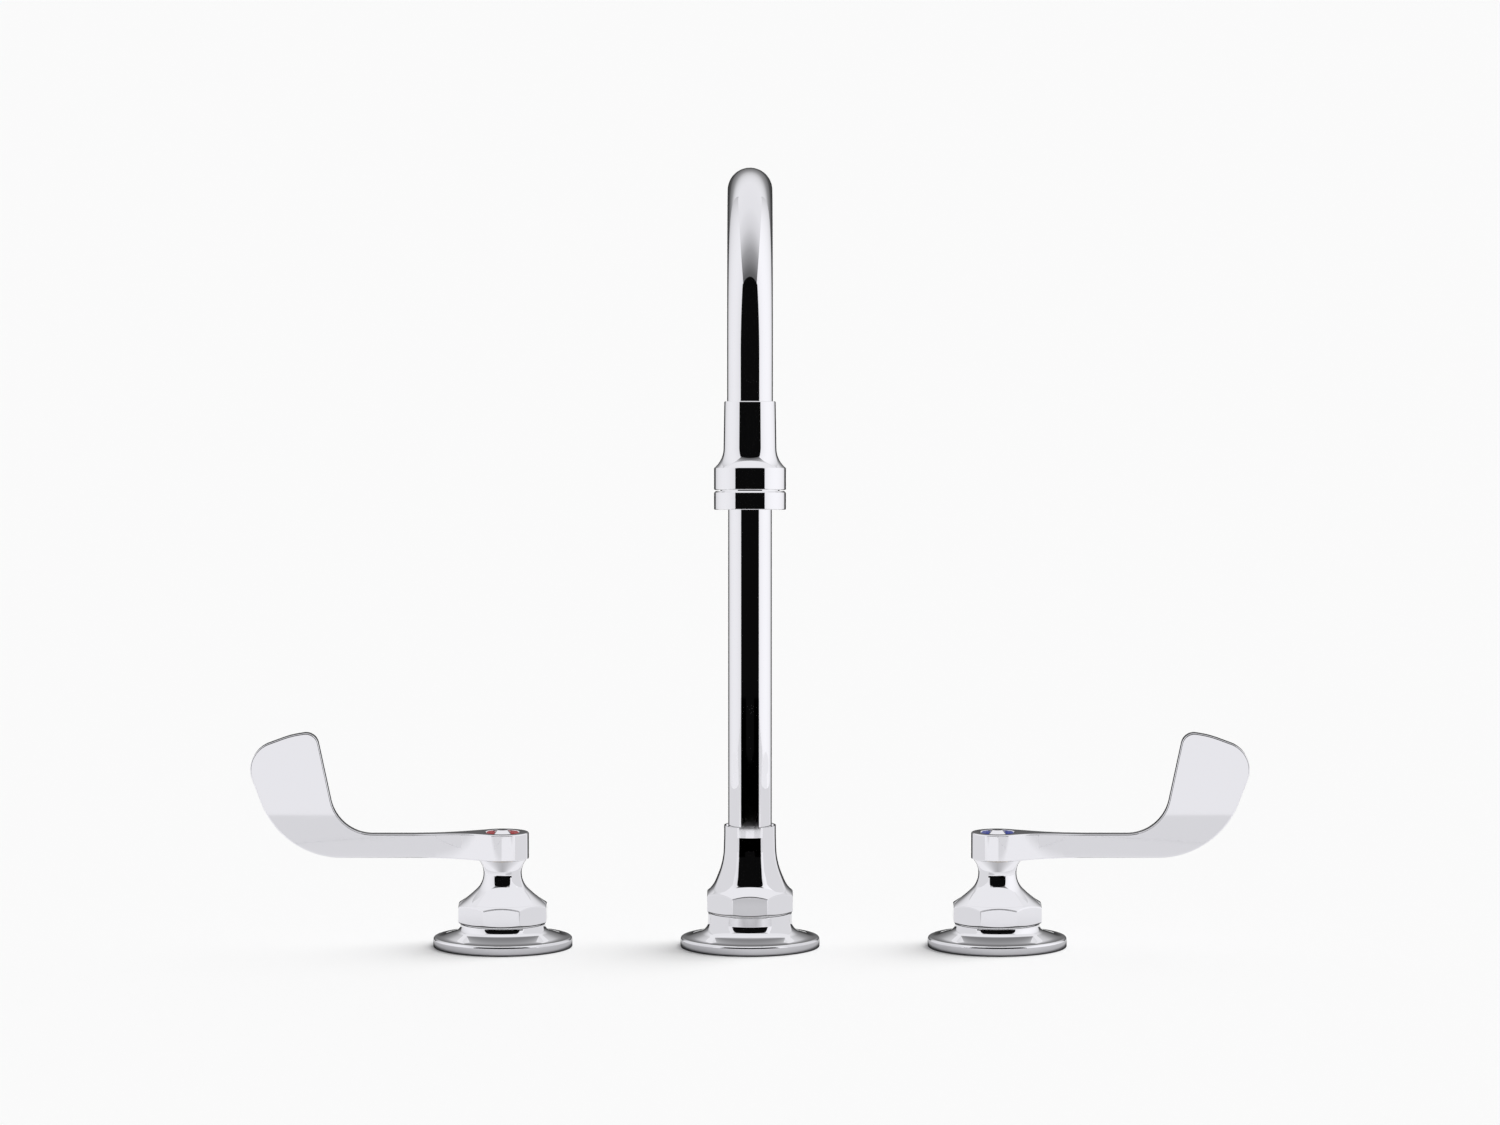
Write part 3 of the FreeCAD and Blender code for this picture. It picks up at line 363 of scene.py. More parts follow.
def corner_cuts(spots, radii, closed):
    """Tangent lengths of the corner arcs, shortened where two arcs share a short side."""
    cuts = []
    for i, (spot, radius) in enumerate(zip(spots, radii)):
        if radius == 0 or (not closed and i in (0, len(spots) - 1)):
            cuts.append(0)
            continue
        turn = (spots[i - 1] - spot).angle(spots[(i + 1) % len(spots)] - spot)
        cuts.append(radius / math.tan(turn / 2))
    limited = cuts[:]
    for i in range(0 if closed else 1, len(spots)):
        side = (spots[i] - spots[i - 1]).length
        wanted = cuts[i - 1] + cuts[i]
        if wanted > side:
            for j in (i - 1, i):
                limited[j] = min(limited[j], cuts[j] * side / wanted)
    return limited


def draw(mesh, points, place, closed=True):
    """Draws a line through points (a, b); a third number rounds that corner with its radius.

    One vertex is the pen: straight runs extrude it and corner arcs spin it.
    """
    spots = [place(point[0], point[1]) for point in points]
    radii = [point[2] if len(point) > 2 else 0 for point in points]
    pen = None
    for i, cut in enumerate(corner_cuts(spots, radii, closed)):
        spot = spots[i]
        if cut == 0:
            pen = pen_to(mesh, pen, spot)
            continue
        back = (spots[i - 1] - spot).normalized()
        ahead = (spots[(i + 1) % len(spots)] - spot).normalized()
        half = back.angle(ahead) / 2
        centre = spot + (back + ahead).normalized() * (cut / math.cos(half))
        turn = math.pi - 2 * half
        steps = math.ceil(turn / arc_step(cut * math.tan(half)))
        pen = pen_to(mesh, pen, spot + back * cut)
        swept = bmesh.ops.spin(mesh, geom=[pen], cent=centre, axis=(-back).cross(ahead),
                               angle=turn, steps=steps)
        pen = verts_of(swept["geom_last"])[0]
    if closed:
        mesh.verts.ensure_lookup_table()
        pen_to(mesh, pen, mesh.verts[0].co)
        bmesh.ops.remove_doubles(mesh, verts=mesh.verts, dist=MERGE_DISTANCE)


def pen_to(mesh, pen, spot):
    if pen is None:
        return mesh.verts.new(spot)
    made = bmesh.ops.extrude_vert_indiv(mesh, verts=[pen])["verts"]
    bmesh.ops.translate(mesh, verts=made, vec=spot - pen.co)
    return made[0]


def profile_place(radius, height):
    return Vector((radius, 0, height))


def plan_place(x, y):
    return Vector((x, y, 0))


def turned(points, steps=TURNING_STEPS, closed=True):
    """A bmesh turned about Z from an outline of (radius, height) points."""
    mesh = bmesh.new()
    draw(mesh, points, profile_place, closed)
    spin_round(mesh, mesh.verts[:] + mesh.edges[:], steps)
    tidy(mesh)
    return mesh


def tidy(mesh):
    bmesh.ops.remove_doubles(mesh, verts=mesh.verts, dist=MERGE_DISTANCE)
    bmesh.ops.recalc_face_normals(mesh, faces=mesh.faces)


def piece(mesh, name, body, finish, replaces):
    """Makes the finished object of a bmesh: smooth faces, crisp edges, body, slot and CAD node."""
    data = bpy.data.meshes.new(name)
    mesh.to_mesh(data)
    mesh.free()
    made = bpy.data.objects.new(name, data)
    bpy.context.scene.collection.objects.link(made)
    data.shade_smooth()
    data.set_sharp_from_angle(angle=SHARP_ANGLE)
    weighted = made.modifiers.new("Facet normals", "WEIGHTED_NORMAL")
    weighted.keep_sharp = True
    data.materials.append(bpy.data.materials[finish])
    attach(made, body)
    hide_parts(replaces)
    return made


def moved(mesh, matrix):
    bmesh.ops.transform(mesh, matrix=matrix, verts=mesh.verts)
    return mesh


def beside(side, flip=False):
    """Places a shape made about Z on a valve's axis, turned so that +X points outwards or inwards."""
    turn = 0 if (SIDES[side] > 0) != flip else math.pi
    return Matrix.Translation((centre_x(side + "_escutcheon"), 0, 0)) @ Matrix.Rotation(turn, 4, "Z")


# Shader helpers
class Channel:
    """One output socket; an expression on values adds its Math nodes."""

    def __init__(self, tree, socket):
        self.tree = tree
        self.socket = socket

    def maths(self, operation, *values):
        return self.tree.node("ShaderNodeMath", {"operation": operation}, dict(enumerate(values)))

    def __add__(self, other):
        return self.maths("ADD", self, other)

    def __radd__(self, other):
        return self.maths("ADD", other, self)

    def __sub__(self, other):
        return self.maths("SUBTRACT", self, other)

    def __rsub__(self, other):
        return self.maths("SUBTRACT", other, self)

    def __mul__(self, other):
        return self.maths("MULTIPLY", self, other)

    def __rmul__(self, other):
        return self.maths("MULTIPLY", other, self)

    def __truediv__(self, other):
        return self.maths("DIVIDE", self, other)

    def __rtruediv__(self, other):
        return self.maths("DIVIDE", other, self)

    def __neg__(self):
        return self.maths("MULTIPLY", self, -1)

    def __abs__(self):
        return self.maths("ABSOLUTE", self)

    def __gt__(self, other):
        return self.maths("GREATER_THAN", self, other)

    def __lt__(self, other):
        return self.maths("LESS_THAN", self, other)

    def at_least(self, other):
        return self.maths("MAXIMUM", self, other)

    def at_most(self, other):
        return self.maths("MINIMUM", self, other)


def find_socket(sockets, key):
    if isinstance(key, int):
        return sockets[key]
    return next(socket for socket in sockets if key in (socket.identifier, socket.name))


class ShaderTree:
    """A node tree that starts empty."""

    def __init__(self, owner):
        owner.use_nodes = True
        self.nodes = owner.node_tree.nodes
        self.links = owner.node_tree.links
        self.nodes.clear()

    def node(self, kind, settings=None, inputs=None, output=0):
        """Adds a node: its settings first, then the values or links of its sockets."""
        made = self.nodes.new(kind)
        for name, value in (settings or {}).items():
            if name == "stops":
                self.set_stops(made.color_ramp, value)
            else:
                setattr(made, name, value)
        for key, value in (inputs or {}).items():
            socket = find_socket(made.inputs, key)
            if isinstance(value, Channel):
                self.links.new(value.socket, socket)
            else:
                socket.default_value = value
        if not made.outputs:
            return None
        return Channel(self, find_socket(made.outputs, output))

    def set_stops(self, ramp, stops):
        while len(ramp.elements) < len(stops):
            ramp.elements.new(1)
        for element, (position, level) in zip(ramp.elements, stops):
            element.position = position
            element.color = grey(level)

    def ramp(self, value, stops):
        return self.node("ShaderNodeValToRGB", {"stops": stops}, {"Fac": value})

    def span_ramp(self, value, stops):
        """A grey ramp whose stops are given in the value's own units."""
        low, high = stops[0][0], stops[-1][0]
        scaled = [((position - low) / (high - low), level) for position, level in stops]
        return self.ramp((value - low) / (high - low), scaled)

    def mix(self, factor, first, second):
        return self.node("ShaderNodeMix", {"data_type": "RGBA"}, {
            "Factor_Float": factor, "A_Color": first, "B_Color": second}, "Result_Color")

    def axes(self, vector):
        return [self.node("ShaderNodeSeparateXYZ", None, {"Vector": vector}, axis) for axis in "XYZ"]

    def place(self, scale=(1, 1, 1), turn=(0, 0, 0)):
        """Object coordinates, turned and then scaled."""
        at = self.node("ShaderNodeTexCoord", output="Object")
        return self.node("ShaderNodeMapping", None, {"Vector": at, "Rotation": turn, "Scale": scale})

    def noise(self, vector, scale, detail=3.0, roughness=0.5):
        return self.node("ShaderNodeTexNoise", None, {
            "Vector": vector, "Scale": scale, "Detail": detail, "Roughness": roughness}, "Fac")

    def bump(self, height, distance, strength=1.0):
        return self.node("ShaderNodeBump", None, {
            "Height": height, "Distance": distance, "Strength": strength}, "Normal")

    def surface(self, **inputs):
        shader = self.node("ShaderNodeBsdfPrincipled", None, {
            key.replace("_", " "): value for key, value in inputs.items()})
        self.node("ShaderNodeOutputMaterial", None, {"Surface": shader})


def four(value):
    return (*value, 1.0)


def grey(level):
    return (level, level, level, 1.0)


def new_material(name):
    return ShaderTree(bpy.data.materials.new(name))


# Finishes
SLOT_OF_FINISH = {
    "polished_chrome": "chrome_plate",
    "cast_brass": "rough_brass",
    "machined_brass": "turned_brass",
    "zinc_plate": "zinc_steel",
    "rubber": "black_rubber",
    "moulded_acetal": "white_plastic",
    "lapped_ceramic": "ceramic_disc",
    "hot_red": "red_plastic",
    "cold_blue": "blue_plastic",
}


def scratches(tree, density, turn):
    """Fine straight scratches: thin ridges of a noise stretched along one direction."""
    field = tree.noise(tree.place((density * 0.03, density, density), turn), 1.0, 2.0)
    return tree.ramp(abs(field - 0.5), [(0.0, 1.0), (0.012, 0.0)])


def polished_chrome(colours):
    tree = new_material("polished_chrome")
    haze = tree.noise(tree.place(), 35.0, 4.0)
    marks = scratches(tree, 900.0, (0.3, 0.5, 0.2)) + scratches(tree, 700.0, (1.1, -0.4, 0.9))
    base = tree.mix(haze * 0.5, four(colours.chrome), four(tuple(c * 0.985 for c in colours.chrome)))
    tree.surface(
        Base_Color=base, Metallic=1.0, Roughness=0.02 + haze * 0.02 + marks * 0.01,
        Normal=tree.bump(tree.noise(tree.place(), 60.0, 2.0), 0.0015 * MM))


def cast_brass(colours):
    tree = new_material("cast_brass")
    tarnish = tree.noise(tree.place(), 45.0, 6.0, 0.6)
    grit = tree.noise(tree.place(), 1400.0, 3.0, 0.6)
    dark = four(tuple(c * 0.55 for c in colours.rough_brass))
    base = tree.mix(tree.ramp(tarnish, [(0.35, 0.0), (0.75, 1.0)]), four(colours.rough_brass), dark)
    tree.surface(
        Base_Color=base, Metallic=1.0, Roughness=0.38 + tarnish * 0.2 + grit * 0.08,
        Normal=tree.bump(grit, 0.06 * MM))


def turned_metal(name, bright, dull, base_roughness):
    """A lathe-turned metal: rings of fine tool marks along Z, duller patches and small scratches."""
    tree = new_material(name)
    patches = tree.noise(tree.place(), 70.0, 5.0, 0.6)
    rings = tree.noise(tree.place((20.0, 20.0, 6000.0)), 1.0, 2.0)
    marks = scratches(tree, 800.0, (0.2, 0.9, 0.4))
    base = tree.mix(tree.ramp(patches, [(0.4, 0.0), (0.8, 1.0)]), four(bright), four(dull))
    tree.surface(
        Base_Color=base, Metallic=1.0,
        Roughness=base_roughness + patches * 0.12 + rings * 0.06 + marks * 0.1,
        Normal=tree.bump(rings + marks * 0.5, 0.006 * MM))


def machined_brass(colours):
    dull = tuple(c * 0.8 for c in colours.turned_brass)
    turned_metal("machined_brass", colours.turned_brass, dull, 0.16)


def zinc_plate(colours):
    turned_metal("zinc_plate", colours.zinc, (0.60, 0.58, 0.50), 0.28)


def rubber(colours):
    tree = new_material("rubber")
    bloom = tree.noise(tree.place(), 90.0, 5.0, 0.6)
    grain = tree.noise(tree.place(), 2500.0, 2.0)
    base = tree.mix(tree.ramp(bloom, [(0.45, 0.0), (0.85, 1.0)]), four(colours.rubber),
                    (0.05, 0.05, 0.052, 1))
    tree.surface(Base_Color=base, Roughness=0.55 + bloom * 0.25, Normal=tree.bump(grain, 0.02 * MM))


def moulded(name, tone, base_roughness, grain_depth, specular=0.5):
    """A moulded plastic or sintered ceramic: slight cloudiness, fine grain and a few scratches."""
    tree = new_material(name)
    cloud = tree.noise(tree.place(), 120.0, 4.0)
    grain = tree.noise(tree.place(), 1800.0, 3.0)
    marks = scratches(tree, 600.0, (0.7, 0.2, 0.5))
    base = tree.mix(cloud, four(tone), four(tuple(c * 0.9 for c in tone)))
    tree.surface(
        Base_Color=base, Roughness=base_roughness + cloud * 0.1 + marks * 0.1,
        Specular_IOR_Level=specular, Normal=tree.bump(grain, grain_depth))


def moulded_acetal(colours):
    moulded("moulded_acetal", colours.white_plastic, 0.34, 0.008 * MM)


def lapped_ceramic(colours):
    moulded("lapped_ceramic", colours.ceramic, 0.10, 0.001 * MM)


def hot_red(colours):
    moulded("hot_red", colours.red, 0.40, 0.006 * MM, 0.15)


def cold_blue(colours):
    moulded("cold_blue", colours.blue, 0.40, 0.006 * MM, 0.15)


# Operators
class FAUCET_OT_finishes(bpy.types.Operator):
    """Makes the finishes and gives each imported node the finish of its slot"""
    bl_idname = "faucet.finishes"
    bl_label = "Finishes"

    def execute(self, context):
        colours = context.scene.faucet.colours
        slots = {name: node.data.materials[0].name for name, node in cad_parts.items()}
        for make in (polished_chrome, cast_brass, machined_brass, zinc_plate, rubber,
                     moulded_acetal, lapped_ceramic, hot_red, cold_blue):
            make(colours)
        finish_of_slot = {slot: finish for finish, slot in SLOT_OF_FINISH.items()}
        for name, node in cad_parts.items():
            node.material_slots[0].material = bpy.data.materials[finish_of_slot[slots[name]]]
        return {"FINISHED"}


def escutcheon(sizes, neck_radius, neck_height):
    """A flanged cover turned in one piece, with its gasket groove in the underside."""
    return turned([
        (sizes.bore, 0), (sizes.groove_inner, 0), (sizes.groove_inner, sizes.groove_depth),
        (sizes.groove_outer, sizes.groove_depth), (sizes.groove_outer, 0),
        (sizes.flange_radius, 0, sizes.foot_round),
        (sizes.flange_radius, sizes.rim_height, sizes.rim_round),
        (sizes.skirt_radius, sizes.rim_height, sizes.skirt_arc),
        (neck_radius, sizes.flare_height, sizes.flare_arc),
        (neck_radius, neck_height, sizes.neck_edge_round), (sizes.bore, neck_height),
    ], steps=FLANGE_STEPS)


class FAUCET_OT_escutcheons(bpy.types.Operator):
    """Turns the three escutcheons"""
    bl_idname = "faucet.escutcheons"
    bl_label = "Escutcheons"

    def execute(self, context):
        sizes = context.scene.faucet.escutcheons
        for side in SIDES:
            node = side + "_escutcheon"
            mesh = escutcheon(sizes, sizes.valve_neck_radius, highest(node))
            piece(moved(mesh, beside(side)), node + "_polished", "deck_assembly", "polished_chrome", node)
        node = "spout_escutcheon"
        mesh = escutcheon(sizes, sizes.spout_neck_radius, highest(node))
        piece(mesh, node + "_polished", "deck_assembly", "polished_chrome", node)
        return {"FINISHED"}


def bonnet(sizes, across_flats, neck_height, bell, hollow):
    """A turned bell with its flats milled on and their edges bevelled."""
    corner = across_flats / 2 / math.cos(math.pi / sizes.sides)
    foot = neck_height + sizes.land_height
    land = across_flats / 2 - sizes.land_inset
    mesh = bmesh.new()
    draw(mesh, [
        (sizes.thread_bore, neck_height), (land, neck_height), (land, foot),
        (across_flats / 2 - sizes.foot_chamfer, foot), (corner, foot + sizes.foot_chamfer),
        *bell, *hollow,
    ], profile_place)
    inner = across_flats / 2 - sizes.clear_band
    spare = [v for v in mesh.verts if inner < v.co.x < corner - MERGE_DISTANCE]
    bmesh.ops.dissolve_verts(mesh, verts=spare)
    start = Matrix.Rotation(math.pi / sizes.sides, 4, "Z")
    moved(mesh, start)
    spin_round(mesh, mesh.verts[:] + mesh.edges[:], STEPS_PER_FLAT * sizes.sides)
    tidy(mesh)
    bevel(mesh, mill_flats(mesh, across_flats, sizes.sides), sizes.edge_round, segments=3)
    tidy(mesh)
    return mesh


def mill_flats(mesh, across_flats, sides):
    """Cuts the flats and returns the edges round them."""
    facets = []
    for i in range(sides):
        turn = 2 * math.pi * i / sides
        normal = Vector((math.sin(turn), math.cos(turn), 0))
        rim = cut(mesh, normal * across_flats / 2, normal, clear_outer=True)
        facets += bmesh.ops.contextual_create(mesh, geom=rim)["faces"]
    return without_repeats(edge for facet in facets for edge in facet.edges)


class FAUCET_OT_bonnets(bpy.types.Operator):
    """Turns and mills the three eight-sided bonnets"""
    bl_idname = "faucet.bonnets"
    bl_label = "Bonnets"

    def execute(self, context):
        sizes = context.scene.faucet.bonnets
        corner = sizes.valve_flats / 2 / math.cos(math.pi / sizes.sides)
        for side in SIDES:
            node = side + "_bonnet"
            top = lowest(side + "_lever") - sizes.lever_gap
            mesh = bonnet(sizes, sizes.valve_flats, lowest(node), [
                (corner, sizes.valve_rim_height),
                (sizes.valve_flare_radius, sizes.valve_flare_height, sizes.valve_flare_arc),
                (sizes.waist_radius, sizes.waist_low, sizes.waist_low_arc),
                (sizes.waist_radius, sizes.waist_high, sizes.waist_high_arc),
                (sizes.valve_collar, top),
            ], [
                (sizes.stem_bore, top), (sizes.stem_bore, sizes.guide_roof),
                (sizes.guide_bore, sizes.guide_roof), (sizes.guide_bore, sizes.cartridge_roof),
                (sizes.cartridge_bore, sizes.cartridge_roof),
                (sizes.cartridge_bore, sizes.valve_thread_top),
                (sizes.thread_bore, sizes.valve_thread_top),
            ])
            piece(moved(mesh, beside(side)), node + "_polished", "deck_assembly", "polished_chrome", node)
        node = "spout_bonnet"
        corner = sizes.spout_flats / 2 / math.cos(math.pi / sizes.sides)
        top = highest(node)
        recess_floor = top - sizes.recess_depth
        mesh = bonnet(sizes, sizes.spout_flats, lowest(node), [
            (corner, sizes.spout_rim_height),
            (sizes.spout_flare_radius, sizes.spout_flare_height, sizes.spout_flare_arc),
            (sizes.throat_radius, sizes.throat_height, sizes.throat_arc),
            (sizes.spout_collar, top - sizes.collar_height, sizes.collar_arc), (sizes.spout_collar, top),
        ], [
            (sizes.recess_radius, top), (sizes.recess_radius, recess_floor),
            (sizes.riser_bore, recess_floor), (sizes.riser_bore, sizes.ferrule_roof),
            (sizes.ferrule_bore, sizes.ferrule_roof), (sizes.ferrule_bore, sizes.spout_thread_top),
            (sizes.thread_bore, sizes.spout_thread_top),
        ])
        piece(mesh, node + "_polished", "deck_assembly", "polished_chrome", node)
        return {"FINISHED"}


def threaded(crest, pitch, depth, low, high, bore):
    """A threaded tube: a zigzag that climbs a pitch a turn, cut square at both ends, and its bore.

    The bore is a line of (radius, height) points from the upper end to the lower one.
    """
    steps = THREAD_STEPS
    mesh = bmesh.new()
    turns = math.ceil((high - low) / pitch) + 3
    start = low - 2 * pitch
    draw(mesh, [(crest - depth * (i % 2), start + i * pitch / 2) for i in range(2 * turns + 1)],
         profile_place, closed=False)
    bmesh.ops.spin(mesh, geom=mesh.verts[:] + mesh.edges[:], axis=UP, dvec=UP * (pitch / steps),
                   angle=2 * math.pi, steps=steps)
    bmesh.ops.remove_doubles(mesh, verts=mesh.verts, dist=MERGE_DISTANCE)
    for height, way in ((low, -1), (high, 1)):
        cut(mesh, UP * height, UP * way, clear_outer=True)
    draw(mesh, bore, profile_place, closed=False)
    line = [edge for edge in mesh.edges if edge.is_wire]
    ends = without_repeats(vertex for edge in line for vertex in edge.verts)
    spin_round(mesh, ends + line, steps)
    for height in (low, high):
        rims = [edge for edge in mesh.edges if edge.is_boundary and at_height(edge, height)]
        bmesh.ops.triangle_fill(mesh, edges=rims, use_beauty=True, normal=UP)
    tidy(mesh)
    return mesh


def joined(meshes):
    """One bmesh of several; each of them is freed."""
    whole = bmesh.new()
    for mesh in meshes:
        take_in(whole, mesh)
    return whole


def block(sizes):
    """The square casting under a barrel."""
    mesh = bmesh.new()
    bmesh.ops.create_cube(mesh, size=1)
    bmesh.ops.scale(mesh, vec=(sizes.block_size, sizes.block_size, sizes.block_height), verts=mesh.verts)
    upright = [edge for edge in mesh.edges if edge.verts[0].co.x == edge.verts[1].co.x
               and edge.verts[0].co.y == edge.verts[1].co.y]
    bevel(mesh, upright, sizes.block_round, segments=8)
    flat = [edge for edge in mesh.edges if abs(edge.verts[0].co.z - edge.verts[1].co.z) < MERGE_DISTANCE]
    bevel(mesh, flat, sizes.block_soften, segments=3)
    return moved(mesh, Matrix.Translation((0, 0, -sizes.port_depth)))


def side_boss(sizes, turn):
    """A threaded side boss along +X, turned about Z."""
    inner = sizes.block_size / 2 - sizes.overlap
    outer = sizes.block_size / 2 + sizes.boss_length
    mesh = threaded(sizes.boss_radius, sizes.boss_pitch, sizes.thread_depth * sizes.boss_pitch, inner,
                    outer, [(sizes.boss_bore, outer), (sizes.boss_bore, inner)])
    along_x = Matrix.Rotation(turn, 4, "Z") @ Matrix.Rotation(math.pi / 2, 4, "Y")
    return moved(mesh, Matrix.Translation((0, 0, -sizes.port_depth)) @ along_x)


class FAUCET_OT_bodies(bpy.types.Operator):
    """Casts the three bodies and cuts their threads"""
    bl_idname = "faucet.bodies"
    bl_label = "Bodies"

    def execute(self, context):
        sizes = context.scene.faucet.bodies
        depth = sizes.thread_depth * sizes.barrel_pitch
        block_top = sizes.block_height / 2 - sizes.port_depth - sizes.overlap
        block_foot = -sizes.block_height / 2 - sizes.port_depth + sizes.overlap
        for side in SIDES:
            node = side + "_valve_body"
            top = highest(node)
            foot = lowest(node)
            barrel = threaded(sizes.barrel_radius, sizes.barrel_pitch, depth, block_top, top,
                              [(sizes.chamber_radius, top), (sizes.chamber_radius, -sizes.chamber_floor),
                               (sizes.tail_bore, -sizes.chamber_floor), (sizes.tail_bore, block_top)])
            tail = threaded(sizes.tail_radius, sizes.tail_pitch, sizes.thread_depth * sizes.tail_pitch,
                            foot, block_foot, [(sizes.tail_bore, block_foot), (sizes.tail_bore, foot)])
            mesh = joined([block(sizes), barrel, tail, side_boss(sizes, 0)])
            piece(moved(mesh, beside(side, flip=True)), node + "_threaded", "deck_assembly", "cast_brass",
                  node)
        node = "spout_body"
        top = highest(node)
        barrel = threaded(sizes.barrel_radius, sizes.barrel_pitch, depth, block_top, top, [
            (sizes.socket_radius, top), (sizes.socket_radius, top - sizes.socket_depth),
            (sizes.waterway, top - sizes.socket_depth), (sizes.waterway, block_top)])
        mesh = joined([block(sizes), barrel, side_boss(sizes, 0), side_boss(sizes, math.pi)])
        piece(mesh, node + "_threaded", "deck_assembly", "cast_brass", node)
        return {"FINISHED"}


def lever_plan(mesh, sizes, run, height):
    """The round hub and its sweep into the arm, drawn from above and extruded upwards."""
    half = sizes.thickness / 2
    rise = half + sizes.sweep
    meet = sizes.hub_radius / (sizes.hub_radius + sizes.sweep)
    around = math.atan2(rise, run)
    pen = pen_to(mesh, None, plan_place(run, half))
    for centre, turn, radius in (
            (plan_place(run, rise), around - math.pi / 2, sizes.sweep),
            (plan_place(0, 0), 2 * math.pi - 2 * around, sizes.hub_radius),
            (plan_place(run, -rise), around - math.pi / 2, sizes.sweep)):
        swept = bmesh.ops.spin(mesh, geom=[pen], cent=centre, axis=UP, angle=turn,
                               steps=math.ceil(abs(turn) / arc_step(radius)))
        pen = verts_of(swept["geom_last"])[0]
    mesh.verts.ensure_lookup_table()
    pen_to(mesh, pen, mesh.verts[0].co)
    bmesh.ops.remove_doubles(mesh, verts=mesh.verts, dist=MERGE_DISTANCE)
    face = bmesh.ops.contextual_create(mesh, geom=mesh.edges)["faces"]
    raised = bmesh.ops.extrude_face_region(mesh, geom=face)["geom"]
    bmesh.ops.translate(mesh, vec=UP * height, verts=verts_of(raised))


def taper_drop(sizes, x):
    """How far the lever's upper and lower faces have closed in at a distance from the axis."""
    slope = sizes.arm_inset / (sizes.taper_end - sizes.hub_radius)
    into = x - (sizes.hub_radius - sizes.taper_blend)
    if into <= 0:
        return 0
    if into < 2 * sizes.taper_blend:
        return slope * into * into / (4 * sizes.taper_blend)
    return slope * (x - sizes.hub_radius)


def lever_mesh(sizes, bottom, top):
    """The blade lever along +X, with rounded edges, a pocket above and a socket below."""
    half = sizes.thickness / 2
    run = math.sqrt((sizes.hub_radius - half) * (sizes.hub_radius + half + 2 * sizes.sweep))
    mesh = bmesh.new()
    lever_plan(mesh, sizes, run, top - bottom)
    for share_along in (-1, -0.5, 0, 0.5, 1):
        x = sizes.hub_radius + share_along * sizes.taper_blend
        cut(mesh, (x, 0, 0), (1, 0, 0))
    for vertex in mesh.verts:
        drop = taper_drop(sizes, vertex.co.x)
        vertex.co.z += bottom + (drop if vertex.co.z < MERGE_DISTANCE else -drop)
    arm_bottom = bottom + sizes.arm_inset
    arm_top = arm_bottom + sizes.arm_height
    drop = taper_drop(sizes, run)
    side = bmesh.new()
    draw(side, [
        (run, bottom + drop), (sizes.taper_end, arm_bottom, sizes.taper_arc),
        *[(x * MM, arm_bottom + z * MM, arc * MM) for x, z, arc in BLADE_CORNERS],
        (sizes.root_distance, arm_top, sizes.root_arc),
        (sizes.taper_end, arm_top, sizes.taper_arc), (run, top - drop),
    ], lambda x, z: Vector((x, -half, z)))
    face = bmesh.ops.contextual_create(side, geom=side.edges)["faces"]
    across = bmesh.ops.extrude_face_region(side, geom=face)["geom"]
    bmesh.ops.translate(side, vec=(0, 2 * half, 0), verts=verts_of(across))
    take_in(mesh, side)
    seam = [f for f in mesh.faces if all(abs(v.co.x - run) < MERGE_DISTANCE for v in f.verts)]
    bmesh.ops.delete(mesh, geom=seam, context="FACES_ONLY")
    tidy(mesh)
    square = [e for e in mesh.edges
              if len(e.link_faces) == 2 and e.calc_face_angle() > SQUARE_ANGLE]
    bevel(mesh, square, sizes.edge_round, segments=4)
    bore_hub(mesh, sizes, bottom, top)
    tidy(mesh)
    return mesh


def bore_hub(mesh, sizes, bottom, top):
    """Opens the stepped hole through the hub, from the button's pocket to the stem's socket."""
    floor = top - sizes.pocket_depth
    seat = floor - sizes.screw_pocket_depth
    roof = seat - sizes.web
    hole = bmesh.new()
    draw(hole, [
        (sizes.pocket_radius + sizes.pocket_edge, top), (sizes.pocket_radius, top - sizes.pocket_edge),
        (sizes.pocket_radius, floor), (sizes.screw_pocket_radius, floor),
        (sizes.screw_pocket_radius, seat), (sizes.screw_bore, seat), (sizes.screw_bore, roof),
        (sizes.socket_radius, roof), (sizes.socket_radius, bottom),
    ], profile_place, closed=False)
    spin_round(hole, hole.verts[:] + hole.edges[:], HOLE_STEPS)
    take_in(mesh, hole)
    for height in (bottom, top):
        flat = [f for f in mesh.faces
                if at_height(f, height) and all(v.co.x < sizes.hub_radius for v in f.verts)]
        face = max(flat, key=lambda f: f.calc_area())
        outer = list(face.edges)
        bmesh.ops.delete(mesh, geom=[face], context="FACES_ONLY")
        inner = [e for e in mesh.edges if e.is_boundary and e not in outer and at_height(e, height)]
        bmesh.ops.triangle_fill(mesh, edges=outer + inner, use_beauty=True, normal=UP)


class FAUCET_OT_levers(bpy.types.Operator):
    """Models the two blade levers"""
    bl_idname = "faucet.levers"
    bl_label = "Levers"

    def execute(self, context):
        sizes = context.scene.faucet.levers
        for side in SIDES:
            node = side + "_lever"
            bottom = lowest(node)
            mesh = lever_mesh(sizes, bottom, bottom + sizes.hub_height)
            piece(moved(mesh, beside(side)), node + "_polished", side + "_handle", "polished_chrome", node)
        return {"FINISHED"}


